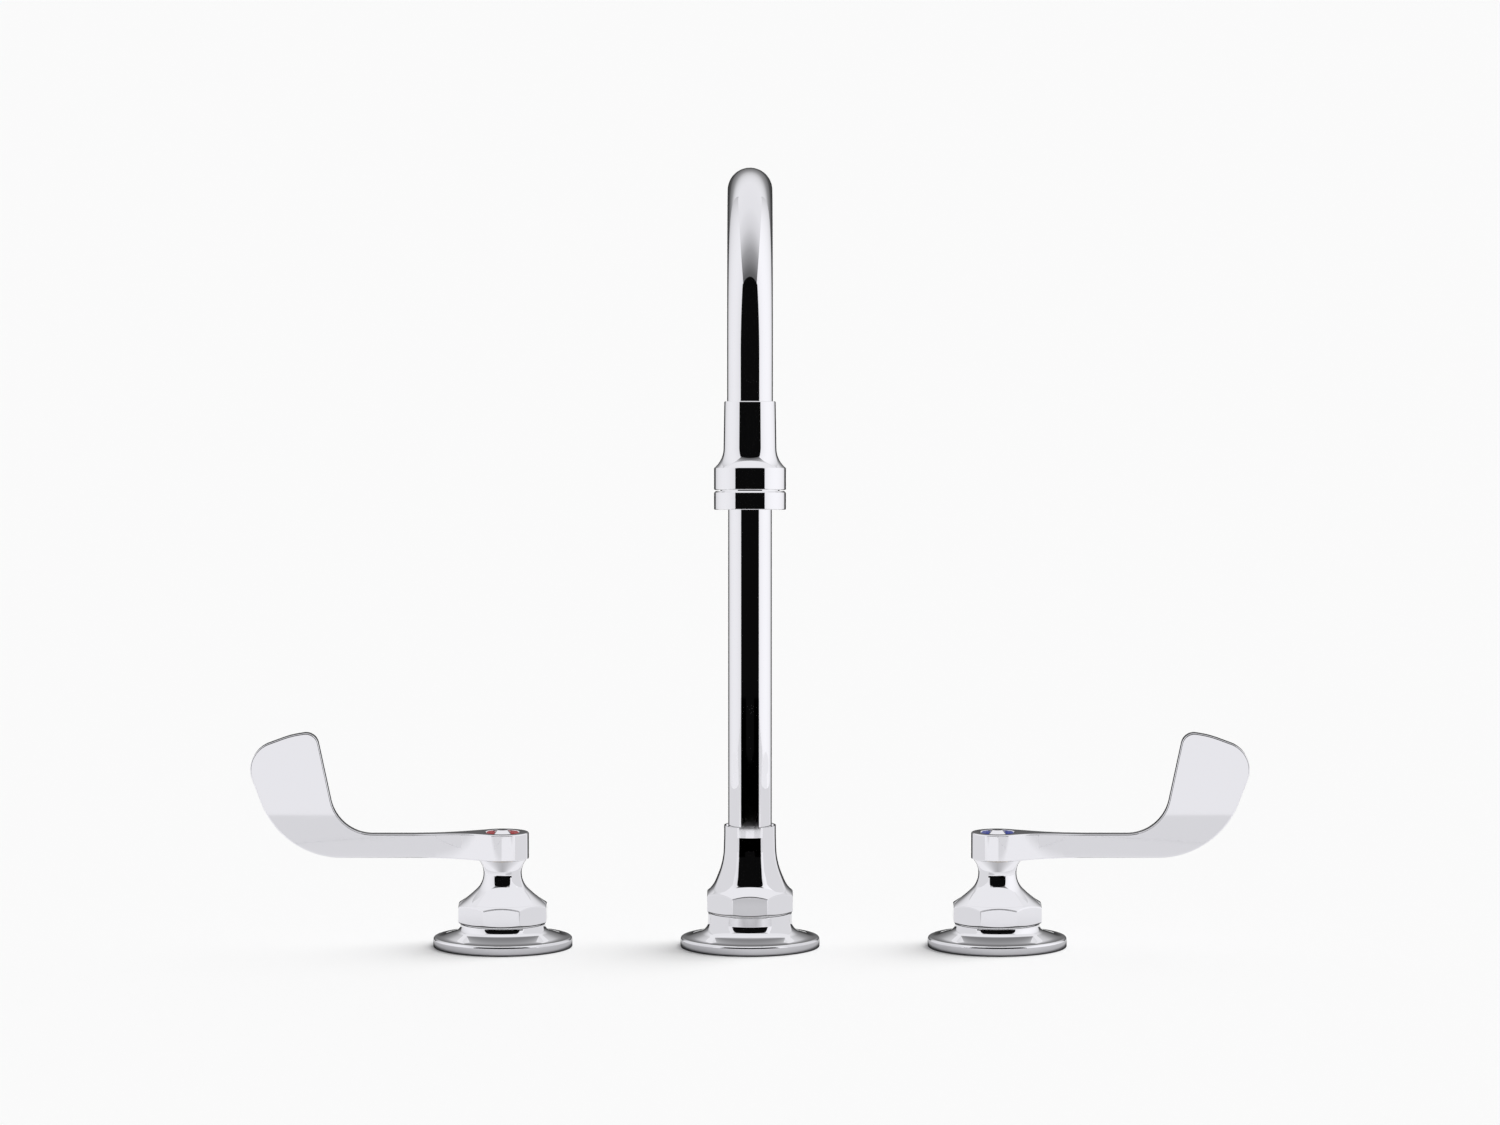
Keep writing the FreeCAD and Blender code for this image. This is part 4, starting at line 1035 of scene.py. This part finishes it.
class FAUCET_OT_index(bpy.types.Operator):
    """Turns the index buttons and their coloured rings"""
    bl_idname = "faucet.index"
    bl_label = "Index buttons"

    def execute(self, context):
        sizes = context.scene.faucet.levers
        for side, finish in (("hot", "hot_red"), ("cold", "cold_blue")):
            floor = lowest(side + "_index_ring")
            ring_top = floor + sizes.ring_height
            inner = sizes.button_radius + sizes.ring_play
            outer = sizes.pocket_radius - sizes.ring_play
            ring = turned([
                (inner, floor), (outer, floor), (outer, ring_top, sizes.ring_round), (inner, ring_top),
            ], steps=HOLE_STEPS)
            piece(moved(ring, beside(side)), side + "_index_ring_moulded", side + "_handle", finish,
                  side + "_index_ring")
            node = side + "_index_button"
            button = turned([
                (0, lowest(node)), (sizes.button_radius, lowest(node)),
                (sizes.button_radius, ring_top, sizes.ring_round),
                (sizes.button_top_radius, highest(node), sizes.button_round), (0, highest(node)),
            ], steps=HOLE_STEPS, closed=False)
            piece(moved(button, beside(side)), node + "_polished", side + "_handle", "polished_chrome", node)
        return {"FINISHED"}


def on_outlet(sizes):
    """The place of a shape made along -Z from the end of the arch."""
    turn = math.pi - sizes.lean
    end = Vector((0, sizes.arch_radius * (math.cos(turn) - 1),
                  sizes.arch_height + sizes.arch_radius * math.sin(turn)))
    return Matrix.Translation(end) @ Matrix.Rotation(-sizes.lean, 4, "X")


def gooseneck(sizes, foot):
    """The bent tube: two circles spun over the arch, drawn out into riser and leg, and joined."""
    mesh = bmesh.new()
    arch_centre = Vector((0, -sizes.arch_radius, sizes.arch_height))
    turn = math.pi - sizes.lean
    leg = Vector((0, -math.sin(sizes.lean), -math.cos(sizes.lean))) * sizes.leg
    ends = []
    for radius in (sizes.tube_radius, sizes.tube_radius - sizes.tube_wall):
        circle = bmesh.ops.create_circle(mesh, segments=HOLE_STEPS, radius=radius,
                                         matrix=Matrix.Translation((0, 0, sizes.arch_height)))["verts"]
        ring = without_repeats(edge for vertex in circle for edge in vertex.link_edges)
        swept = bmesh.ops.spin(mesh, geom=ring, cent=arch_centre, axis=(1, 0, 0), angle=turn,
                               steps=ARCH_STEPS)
        ends += draw_out(mesh, edges_of(swept["geom_last"]), leg)
        ends += draw_out(mesh, ring, Vector((0, 0, foot - sizes.arch_height)))
    half = len(ends) // 2
    quarter = half // 2
    for outer in (0, quarter):
        inner = half + outer
        bmesh.ops.bridge_loops(mesh, edges=ends[outer:outer + quarter] + ends[inner:inner + quarter])
    tidy(mesh)
    return mesh


def draw_out(mesh, edges, way):
    """Extrudes a loop of edges along a vector and returns the new loop."""
    made = bmesh.ops.extrude_edge_only(mesh, edges=edges)["geom"]
    bmesh.ops.translate(mesh, vec=way, verts=verts_of(made))
    return [edge for edge in edges_of(made) if edge.is_boundary]


class FAUCET_OT_gooseneck(bpy.types.Operator):
    """Bends the gooseneck tube"""
    bl_idname = "faucet.gooseneck"
    bl_label = "Gooseneck"

    def execute(self, context):
        sizes = context.scene.faucet.spout
        mesh = gooseneck(sizes, lowest("gooseneck"))
        piece(mesh, "gooseneck_polished", "spout", "polished_chrome", "gooseneck")
        return {"FINISHED"}


class FAUCET_OT_outlet(bpy.types.Operator):
    """Turns the outlet adapter and the aerator ring"""
    bl_idname = "faucet.outlet"
    bl_label = "Outlet"

    def execute(self, context):
        sizes = context.scene.faucet.spout
        top = sizes.adapter_insert - sizes.leg - sizes.play
        bottom = top - sizes.adapter_length
        tube_bore = sizes.tube_radius + sizes.tube_seat_gap
        waterway = sizes.tube_radius - sizes.tube_wall
        adapter = turned([
            (tube_bore, top), (sizes.mouth_radius, top, sizes.rim_round),
            (sizes.throat_radius, top - sizes.throat_depth, sizes.flare_arc),
            (sizes.rim_radius, bottom + sizes.rim_height, sizes.rim_round),
            (sizes.rim_radius, bottom, sizes.rim_round),
            (sizes.thread_radius, bottom), (sizes.thread_radius, bottom + sizes.thread_depth),
            (waterway, bottom + sizes.thread_depth), (waterway, top - sizes.adapter_insert),
            (tube_bore, top - sizes.adapter_insert),
        ])
        place = on_outlet(sizes)
        piece(moved(adapter, place), "outlet_adapter_polished", "spout", "polished_chrome", "outlet_adapter")
        shoulder = bottom - sizes.housing_gap
        end = shoulder - sizes.housing_height
        thread_top = shoulder + sizes.housing_thread
        lip_top = end + sizes.lip_thickness
        outer = sizes.thread_radius - sizes.play
        housing = turned([
            (sizes.housing_bore, thread_top), (outer, thread_top), (outer, shoulder),
            (sizes.rim_radius - sizes.housing_shoulder, shoulder),
            (sizes.rim_radius, shoulder - sizes.housing_shoulder),
            (sizes.rim_radius, end, sizes.lip_round), (sizes.lip_radius, end, sizes.lip_round),
            (sizes.lip_radius, lip_top), (sizes.housing_bore, lip_top),
        ])
        piece(moved(housing, place), "aerator_housing_polished", "spout", "polished_chrome",
              "aerator_housing")
        return {"FINISHED"}


# Stage: lengths in metres, levels as (distance or slope, level)
FLOOR_DROP = 0.05 * MM
NEAR_FLOOR = ((-0.6, -0.6), (0.6, 0.12))
FAR_FLOOR = ((-20, -20), (20, 20))
# Beyond this radius, in a wedge in front that the slope below bounds, the floor is painted black where metal
# mirrors it; the lever cards stand on this radius too
ROUND_FLOOR_RADIUS = 0.367
FLOOR_WEDGE_SLOPE = 1.05
# Painted shade: how dark the floor is where metal mirrors it, by distance from a base's axis
BASE_PAINTED_SHADE = ((0.029, 0.03), (0.0315, 0.12), (0.035, 0.50), (0.042, 0.60), (0.054, 0.70), (0.075, 0.84),
               (0.11, 0.93), (0.2, 1.0))
# Painted shade: darker patches of the mirrored floor before the spout and before the arms
SPOUT_SHADE_AHEAD = 0.125
SPOUT_PAINTED_SHADE = ((0.02, 0.70), (0.04, 0.63), (0.055, 0.8), (0.07, 1.0))
ARM_SHADE_SIDEWAYS = ((0.10, 0.0), (0.125, 0.18))
ARM_SHADE_AHEAD = ((0.22, 0.0), (0.27, 1.0))
SMALLEST = 0.001
FRONT_WALL_SLOPE = 1.13
FRONT_WALL_TONE = 0.003
BACK_WALL_SLOPE = 0.7
CEILING_SLOPE = 1.30
SIDE_WALL_TONE = 0.83
WINDOW_SIDE_GAIN = 0.10
SIDE_WALL_FALL = 0.18
CHROME_SHARE = 0.9
CEILING_LEVELS = (
    (-0.84, 0.09), (-0.70, 0.12), (-0.61, 0.165), (-0.475, 0.25), (-0.344, 0.33), (-0.23, 0.45),
    (-0.123, 0.55), (-0.017, 0.645), (0.087, 0.69), (0.306, 0.76), (0.84, 0.78))
BACK_WALL_LEVELS = (
    (-0.14, 0.02), (-0.03, 0.03), (0.08, 0.065), (0.13, 0.09), (0.158, 0.15), (0.25, 0.21),
    (0.344, 0.30), (0.466, 0.52), (0.6, 0.67), (0.75, 0.74), (0.93, 0.78))

# These sheets and the cards are neither floor nor backdrop: they glow, show in polished metal alone and
# light nothing, as painted reflections, and as painted shade where they are dark.
SPOUT_UMBRELLA = ((0.074, 0.0089), (0.0933, 0.1005))
VALVE_UMBRELLA = ((0.037, 0.001), (0.064, 0.069))
OUTLET_UMBRELLA = ((0.0089, 0.030), (-0.012, -0.0111))
CORE = ((0.0172, 0.0172), (0.0005, 0.019))
SKIRT_RADII = (0.058, 0.058)
SKIRT_HEIGHTS = {"hot": (0.0002, 0.061), "cold": (0.0002, 0.061), "spout": (0.0002, 0.052)}
VALVE_BROW = ((0.0225, 0.0278), (0.021, 0.0212))
SPOUT_BROW = ((0.0225, 0.0300), (0.024, 0.0242))
BROWS = {"hot": VALVE_BROW, "cold": VALVE_BROW, "spout": SPOUT_BROW}
SHOULDER = ((0.034, 0.001), (0.0195, 0.0200))
RECESS_SHADE_RADII = (0.0106, 0.00902)
SEAM_SHADE_HEIGHT = 0.006
STAND_OFF = 0.1 * MM
# Painted shade: the cores grow darker towards the deck
CORE_PAINTED_SHADE = ((0.006, 0.13), (0.010, 0.25), (0.014, 0.46), (0.0175, 0.75))
SHOULDER_PAINTED_REFLECTION = ((0.0, 0.47), (0.006, 0.55), (0.02, 0.92))
# Grey levels of the glowing sheets: painted reflections, and painted shade in the dark shade tone
UMBRELLA_TONE = 0.90
SKIRT_TONE = 0.76
BROW_TONE = 0.87
SHADE_TONE = 0.02

# Glowing cards before the levers, painted reflections in them alone: name, first and last angle round the
# spout in degrees, lower and upper edge
CARDS = (
    ("lever_card", -48.5, 48.5, 0, 0.014), ("hot_blade_card", -48.5, -21, 0.014, 0.060),
    ("cold_blade_card", 21, 48.5, 0.014, 0.060))
CARD_STEPS = 48
# Painted reflection tones of the cards
CARD_LOW_LEVELS = ((0.06, 0.88), (0.10, 0.80), (0.13, 0.742))
CARD_HIGH_TONE = 0.885
CARD_BREAK_HEIGHT = 55 * MM
CARD_BREAK_SLOPE = 0.138


def flat_sheet(name, corners, height, material):
    """A flat stage sheet between two corners."""
    (left, front), (right, back) = corners
    mesh = bmesh.new()
    bmesh.ops.create_grid(mesh, x_segments=1, y_segments=1, size=0.5)
    bmesh.ops.scale(mesh, vec=(right - left, back - front, 1), verts=mesh.verts)
    bmesh.ops.translate(mesh, vec=((left + right) / 2, (front + back) / 2, height), verts=mesh.verts)
    return stage_object(name, mesh, material)


def stage_object(name, mesh, material):
    """An object that is no piece of the faucet."""
    data = bpy.data.meshes.new(name)
    mesh.to_mesh(data)
    mesh.free()
    made = bpy.data.objects.new(name, data)
    bpy.context.scene.collection.objects.link(made)
    data.materials.append(material)
    return made


def floor_distance(across, along):
    squares = across * across + along * along
    return squares.maths("SQRT", squares)


def floor_material(tone, mirrored_share):
    """A pale matt floor that is see-through from below. Where metal mirrors it, it is a little darker, with
    painted shade near the bases, before the spout and before the arms, and painted black in a wedge in
    front.
    """
    tree = new_material("floor")
    mirrored = tree.node("ShaderNodeLightPath", output="Is Glossy Ray")
    x, y, _ = tree.axes(tree.place())
    valve = abs(x) - centre_x("cold_escutcheon")
    # Painted shade in the floor that metal mirrors: darker near the bases, before the spout and before the
    # arms, and black in a wedge in front
    base_shade = tree.span_ramp(floor_distance(x, y).at_most(floor_distance(valve, y)), BASE_PAINTED_SHADE)
    spout_shade = tree.span_ramp(floor_distance(x, y + SPOUT_SHADE_AHEAD), SPOUT_PAINTED_SHADE)
    painted_dark_wedge = (-y > abs(x) / FLOOR_WEDGE_SLOPE) * (floor_distance(x, y) > ROUND_FLOOR_RADIUS)
    arm_shade = 1 - (tree.span_ramp(abs(x), ARM_SHADE_SIDEWAYS)
                       * tree.span_ramp(-y, ARM_SHADE_AHEAD))
    painted_reflection = base_shade * spout_shade * arm_shade * (1 - painted_dark_wedge) * (mirrored_share * tone[0])
    matt = tree.node("ShaderNodeBsdfDiffuse", None, {"Color": tree.mix(mirrored, four(tone), painted_reflection)})
    clear = tree.node("ShaderNodeBsdfTransparent")
    below = tree.node("ShaderNodeNewGeometry", output="Backfacing")
    shader = tree.node("ShaderNodeMixShader", None, {0: below, 1: matt, 2: clear})
    tree.node("ShaderNodeOutputMaterial", None, {"Surface": shader})
    return bpy.data.materials["floor"]


def room_levels(tree):
    """Brightness of a box-shaped room by direction: a dark front wall, pale ceiling and side walls."""
    direction = tree.node("ShaderNodeTexCoord", output="Generated")
    x, y, z = tree.axes(direction)
    wide = abs(x)
    front = (-y > wide / FRONT_WALL_SLOPE) * (z < -CEILING_SLOPE * y)
    ceiling = (z > CEILING_SLOPE * wide) * (z > y)
    back = y > wide / BACK_WALL_SLOPE
    along = y / wide.at_least(SMALLEST)
    overhead = tree.span_ramp(y / z.at_least(SMALLEST), CEILING_LEVELS)
    behind = tree.span_ramp(z / y.at_least(SMALLEST), BACK_WALL_LEVELS)
    side_level = SIDE_WALL_TONE + (x > 0) * WINDOW_SIDE_GAIN
    walls = side_level * (1 - SIDE_WALL_FALL * along * along)
    room = walls + (behind - walls) * back
    room = room + (overhead - room) * ceiling
    return room + (FRONT_WALL_TONE - room) * front


def build_world(settings):
    """The room in polished metal, a plain backdrop for the camera and soft light for the rest."""
    world = bpy.data.worlds.new("studio_room")
    bpy.context.scene.world = world
    tree = ShaderTree(world)
    room = room_levels(tree) / CHROME_SHARE
    glossy, through, seen = (tree.node("ShaderNodeLightPath", output="Is " + kind + " Ray")
                             for kind in ("Glossy", "Transmission", "Camera"))
    lit = tree.mix(glossy.at_least(through), grey(settings.room_light), room)
    backdrop = tree.mix(seen, lit, four(settings.floor_tone))
    shader = tree.node("ShaderNodeBackground", None, {"Color": backdrop})
    tree.node("ShaderNodeOutputWorld", None, {"Surface": shader})


def mirrored_only(card):
    """Lets a glowing sheet show in polished metal alone."""
    card.data.materials[0].cycles.emission_sampling = "NONE"
    card.visible_camera = False
    card.visible_diffuse = False
    card.visible_shadow = False
    card.visible_transmission = False
    card.visible_volume_scatter = False


def group_of(name, pieces):
    group = bpy.data.collections.new(name)
    for item in pieces:
        group.objects.link(item)
    return group


def only_for(card, receivers):
    """Lets a card show in some of the pieces alone."""
    card.light_linking.receiver_collection = group_of(card.name + "_receivers", receivers)


def glow(name, tone, one_sided=False):
    """A glowing material of one grey level, or of a tone worked out from its tree.

    One-sided, it shows from the side that its faces point to.
    """
    tree = new_material(name)
    shown = tone(tree) if callable(tone) else grey(tone)
    shader = tree.node("ShaderNodeEmission", None, {"Color": shown})
    if one_sided:
        clear = tree.node("ShaderNodeBsdfTransparent")
        inside = tree.node("ShaderNodeNewGeometry", output="Backfacing")
        shader = tree.node("ShaderNodeMixShader", None, {0: inside, 1: shader, 2: clear})
    tree.node("ShaderNodeOutputMaterial", None, {"Surface": shader})
    return bpy.data.materials[name]


def tube(name, radii, heights, place, material, inwards=False):
    """A thin open cone between two heights, which shows in polished metal alone.

    Its faces point outwards, or inwards where that is asked.
    """
    mesh = bmesh.new()
    low, high = heights
    bmesh.ops.create_cone(
        mesh, cap_ends=False, segments=HOLE_STEPS, radius1=radii[0], radius2=radii[1], depth=high - low,
        matrix=place @ Matrix.Translation((0, 0, (low + high) / 2)))
    if inwards:
        bmesh.ops.reverse_faces(mesh, faces=mesh.faces)
    mirrored_only(stage_object(name, mesh, material))


def umbrellas():
    """Bright glowing hoods over the bonnets and the outlet adapter, tilted along the sight lines past them:
    painted reflections that show in polished metal alone.
    """
    material = glow("umbrella", UMBRELLA_TONE)
    downward = glow("downward_umbrella", UMBRELLA_TONE, one_sided=True)
    tube("spout_umbrella", *SPOUT_UMBRELLA, Matrix(), downward, inwards=True)
    for side in SIDES:
        tube(side + "_umbrella", *VALVE_UMBRELLA, beside(side), material)
    tube("outlet_umbrella", *OUTLET_UMBRELLA, on_outlet(bpy.context.scene.faucet.spout), downward)


def standing_cores():
    """Grey and dark glowing sheets that show in the bonnets and escutcheons in place of their neighbours:
    painted reflections, and painted shade where they are dark.
    """
    bonnets = bpy.context.scene.faucet.bonnets
    core = glow("standing_core", core_shade_tone, one_sided=True)
    skirt = glow("skirt", SKIRT_TONE, one_sided=True)
    brow = glow("brow", BROW_TONE, one_sided=True)
    shade = glow("shade", SHADE_TONE)
    shoulder = glow("shoulder", shoulder_reflection_tone, one_sided=True)
    for unit, flats in (("hot", bonnets.valve_flats), ("cold", bonnets.valve_flats),
                        ("spout", bonnets.spout_flats)):
        place = Matrix.Translation((centre_x(unit + "_escutcheon"), 0, 0))
        tube(unit + "_core", *CORE, place, core)
        tube(unit + "_skirt", SKIRT_RADII, SKIRT_HEIGHTS[unit], place, skirt)
        tube(unit + "_brow", *BROWS[unit], place, brow)
        # Painted shade: a dark sheet just inside each bonnet's land, so that the gap between bonnet and neck
        # is dark in metal
        seam = flats / 2 - bonnets.land_inset - STAND_OFF
        foot = lowest(unit + "_bonnet")
        tube(unit + "_seam", (seam, seam), (foot, foot + SEAM_SHADE_HEIGHT), place, shade)
        if unit in SIDES:
            tube(unit + "_shoulder", *SHOULDER, place, shoulder)
    # Painted shade: a dark ring over the spout bonnet's recess
    recess_shade_top = highest("spout_bonnet") - STAND_OFF
    tube("recess_lid", RECESS_SHADE_RADII, (recess_shade_top - STAND_OFF, recess_shade_top), Matrix(), shade)


def core_shade_tone(tree):
    """Painted shade: darker towards the deck."""
    return tree.span_ramp(tree.axes(tree.place())[2], CORE_PAINTED_SHADE)


def shoulder_reflection_tone(tree):
    """Painted reflection: grey before each valve and light beside it."""
    aside = abs(abs(tree.axes(tree.place())[0]) - centre_x("cold_escutcheon"))
    return tree.span_ramp(aside, SHOULDER_PAINTED_REFLECTION)


def lever_cards(levers):
    """Pale glowing strips before the faucet, which show in the levers alone and light nothing: painted
    reflections.
    """
    material = glow("lever_card", lever_card_tone)
    for name, first, last, low, high in CARDS:
        mesh = bmesh.new()
        turn = Matrix.Rotation(math.radians(first), 3, "Z")
        foot = mesh.verts.new(turn @ Vector((0, -ROUND_FLOOR_RADIUS, low)))
        head = mesh.verts.new(turn @ Vector((0, -ROUND_FLOOR_RADIUS, high)))
        edge = mesh.edges.new((foot, head))
        bmesh.ops.spin(mesh, geom=[foot, head, edge], axis=UP, angle=math.radians(last - first),
                       steps=CARD_STEPS)
        card = stage_object(name, mesh, material)
        mirrored_only(card)
        only_for(card, levers)


def lever_card_tone(tree):
    """Painted reflection: two tones that meet at one level on the blades, and a lighter middle before the
    hubs.
    """
    x, y, z = tree.axes(tree.place())
    high = z - CARD_BREAK_SLOPE * y > CARD_BREAK_HEIGHT
    return tree.mix(high, tree.span_ramp(abs(x), CARD_LOW_LEVELS), grey(CARD_HIGH_TONE))


class FAUCET_OT_stage(bpy.types.Operator):
    """Sets up the floor, the studio light, the glowing sheets that paint reflections and shade into the
    chrome, and the camera
    """
    bl_idname = "faucet.stage"
    bl_label = "Stage"

    def execute(self, context):
        scene = context.scene
        settings = scene.faucet.stage
        scene.view_settings.view_transform = "Standard"
        material = floor_material(settings.floor_tone, settings.mirrored_floor)
        flat_sheet("floor", NEAR_FLOOR, -FLOOR_DROP, material)
        far = flat_sheet("floor_beyond", FAR_FLOOR, -2 * FLOOR_DROP, material)
        far.visible_glossy = False
        build_world(settings)
        chrome = {item.name: item for item in scene.objects
                  if item.type == "MESH" and item.data.materials[0].name == "polished_chrome"}
        for item in chrome.values():
            item.visible_glossy = False
        # Glowing sheets that paint reflections, and shade where they are dark, into the chrome
        lever_cards([chrome[side + "_lever_polished"] for side in SIDES])
        umbrellas()
        standing_cores()
        add_window(settings, [item for name, item in chrome.items()
                              if "escutcheon" in name or "bonnet" in name])
        add_camera(settings)
        return {"FINISHED"}


def add_window(settings, blockers):
    """A wide soft lamp whose light only some of the pieces block."""
    lamp = bpy.data.lights.new("window", "SUN")
    lamp.energy = settings.lamp_energy
    lamp.angle = settings.lamp_spread
    window = bpy.data.objects.new("window", lamp)
    window.visible_glossy = False
    bpy.context.scene.collection.objects.link(window)
    window.light_linking.blocker_collection = group_of("window_blockers", blockers)
    window.rotation_euler = Vector(settings.lamp_direction).to_track_quat("Z", "Y").to_euler()


def add_camera(settings):
    view = bpy.data.cameras.new("camera")
    view.lens = settings.lens
    view.sensor_width = 36
    view.clip_end = 100
    camera = bpy.data.objects.new("camera", view)
    camera.location = (0, -settings.camera_distance, settings.camera_height)
    camera.rotation_euler = (settings.camera_tilt, 0, 0)
    bpy.context.scene.collection.objects.link(camera)
    bpy.context.scene.camera = camera


STEPS = (
    FAUCET_OT_finishes, FAUCET_OT_escutcheons, FAUCET_OT_bonnets, FAUCET_OT_bodies, FAUCET_OT_levers,
    FAUCET_OT_index, FAUCET_OT_gooseneck, FAUCET_OT_outlet, FAUCET_OT_stage)


class FAUCET_PT_panel(bpy.types.Panel):
    """Lists the faucet's making steps"""
    bl_idname = "FAUCET_PT_panel"
    bl_label = "Basin faucet"
    bl_space_type = "VIEW_3D"
    bl_region_type = "UI"
    bl_category = "Faucet"

    def draw(self, context):
        for step in STEPS:
            self.layout.operator(step.bl_idname)


CLASSES = (EscutcheonSizes, BonnetSizes, BodySizes, LeverSizes, SpoutSizes, FinishColours, StageSettings,
           FaucetSettings, *STEPS, FAUCET_PT_panel)


def register():
    for item in CLASSES:
        bpy.utils.register_class(item)
    bpy.types.Scene.faucet = bpy.props.PointerProperty(type=FaucetSettings)


def unregister():
    del bpy.types.Scene.faucet
    for item in reversed(CLASSES):
        bpy.utils.unregister_class(item)


def main():
    register()
    bpy.ops.faucet.finishes()
    bpy.ops.faucet.escutcheons()
    bpy.ops.faucet.bonnets()
    bpy.ops.faucet.bodies()
    bpy.ops.faucet.levers()
    bpy.ops.faucet.index()
    bpy.ops.faucet.gooseneck()
    bpy.ops.faucet.outlet()
    bpy.ops.faucet.stage()


if __name__ == "__main__":
    main()
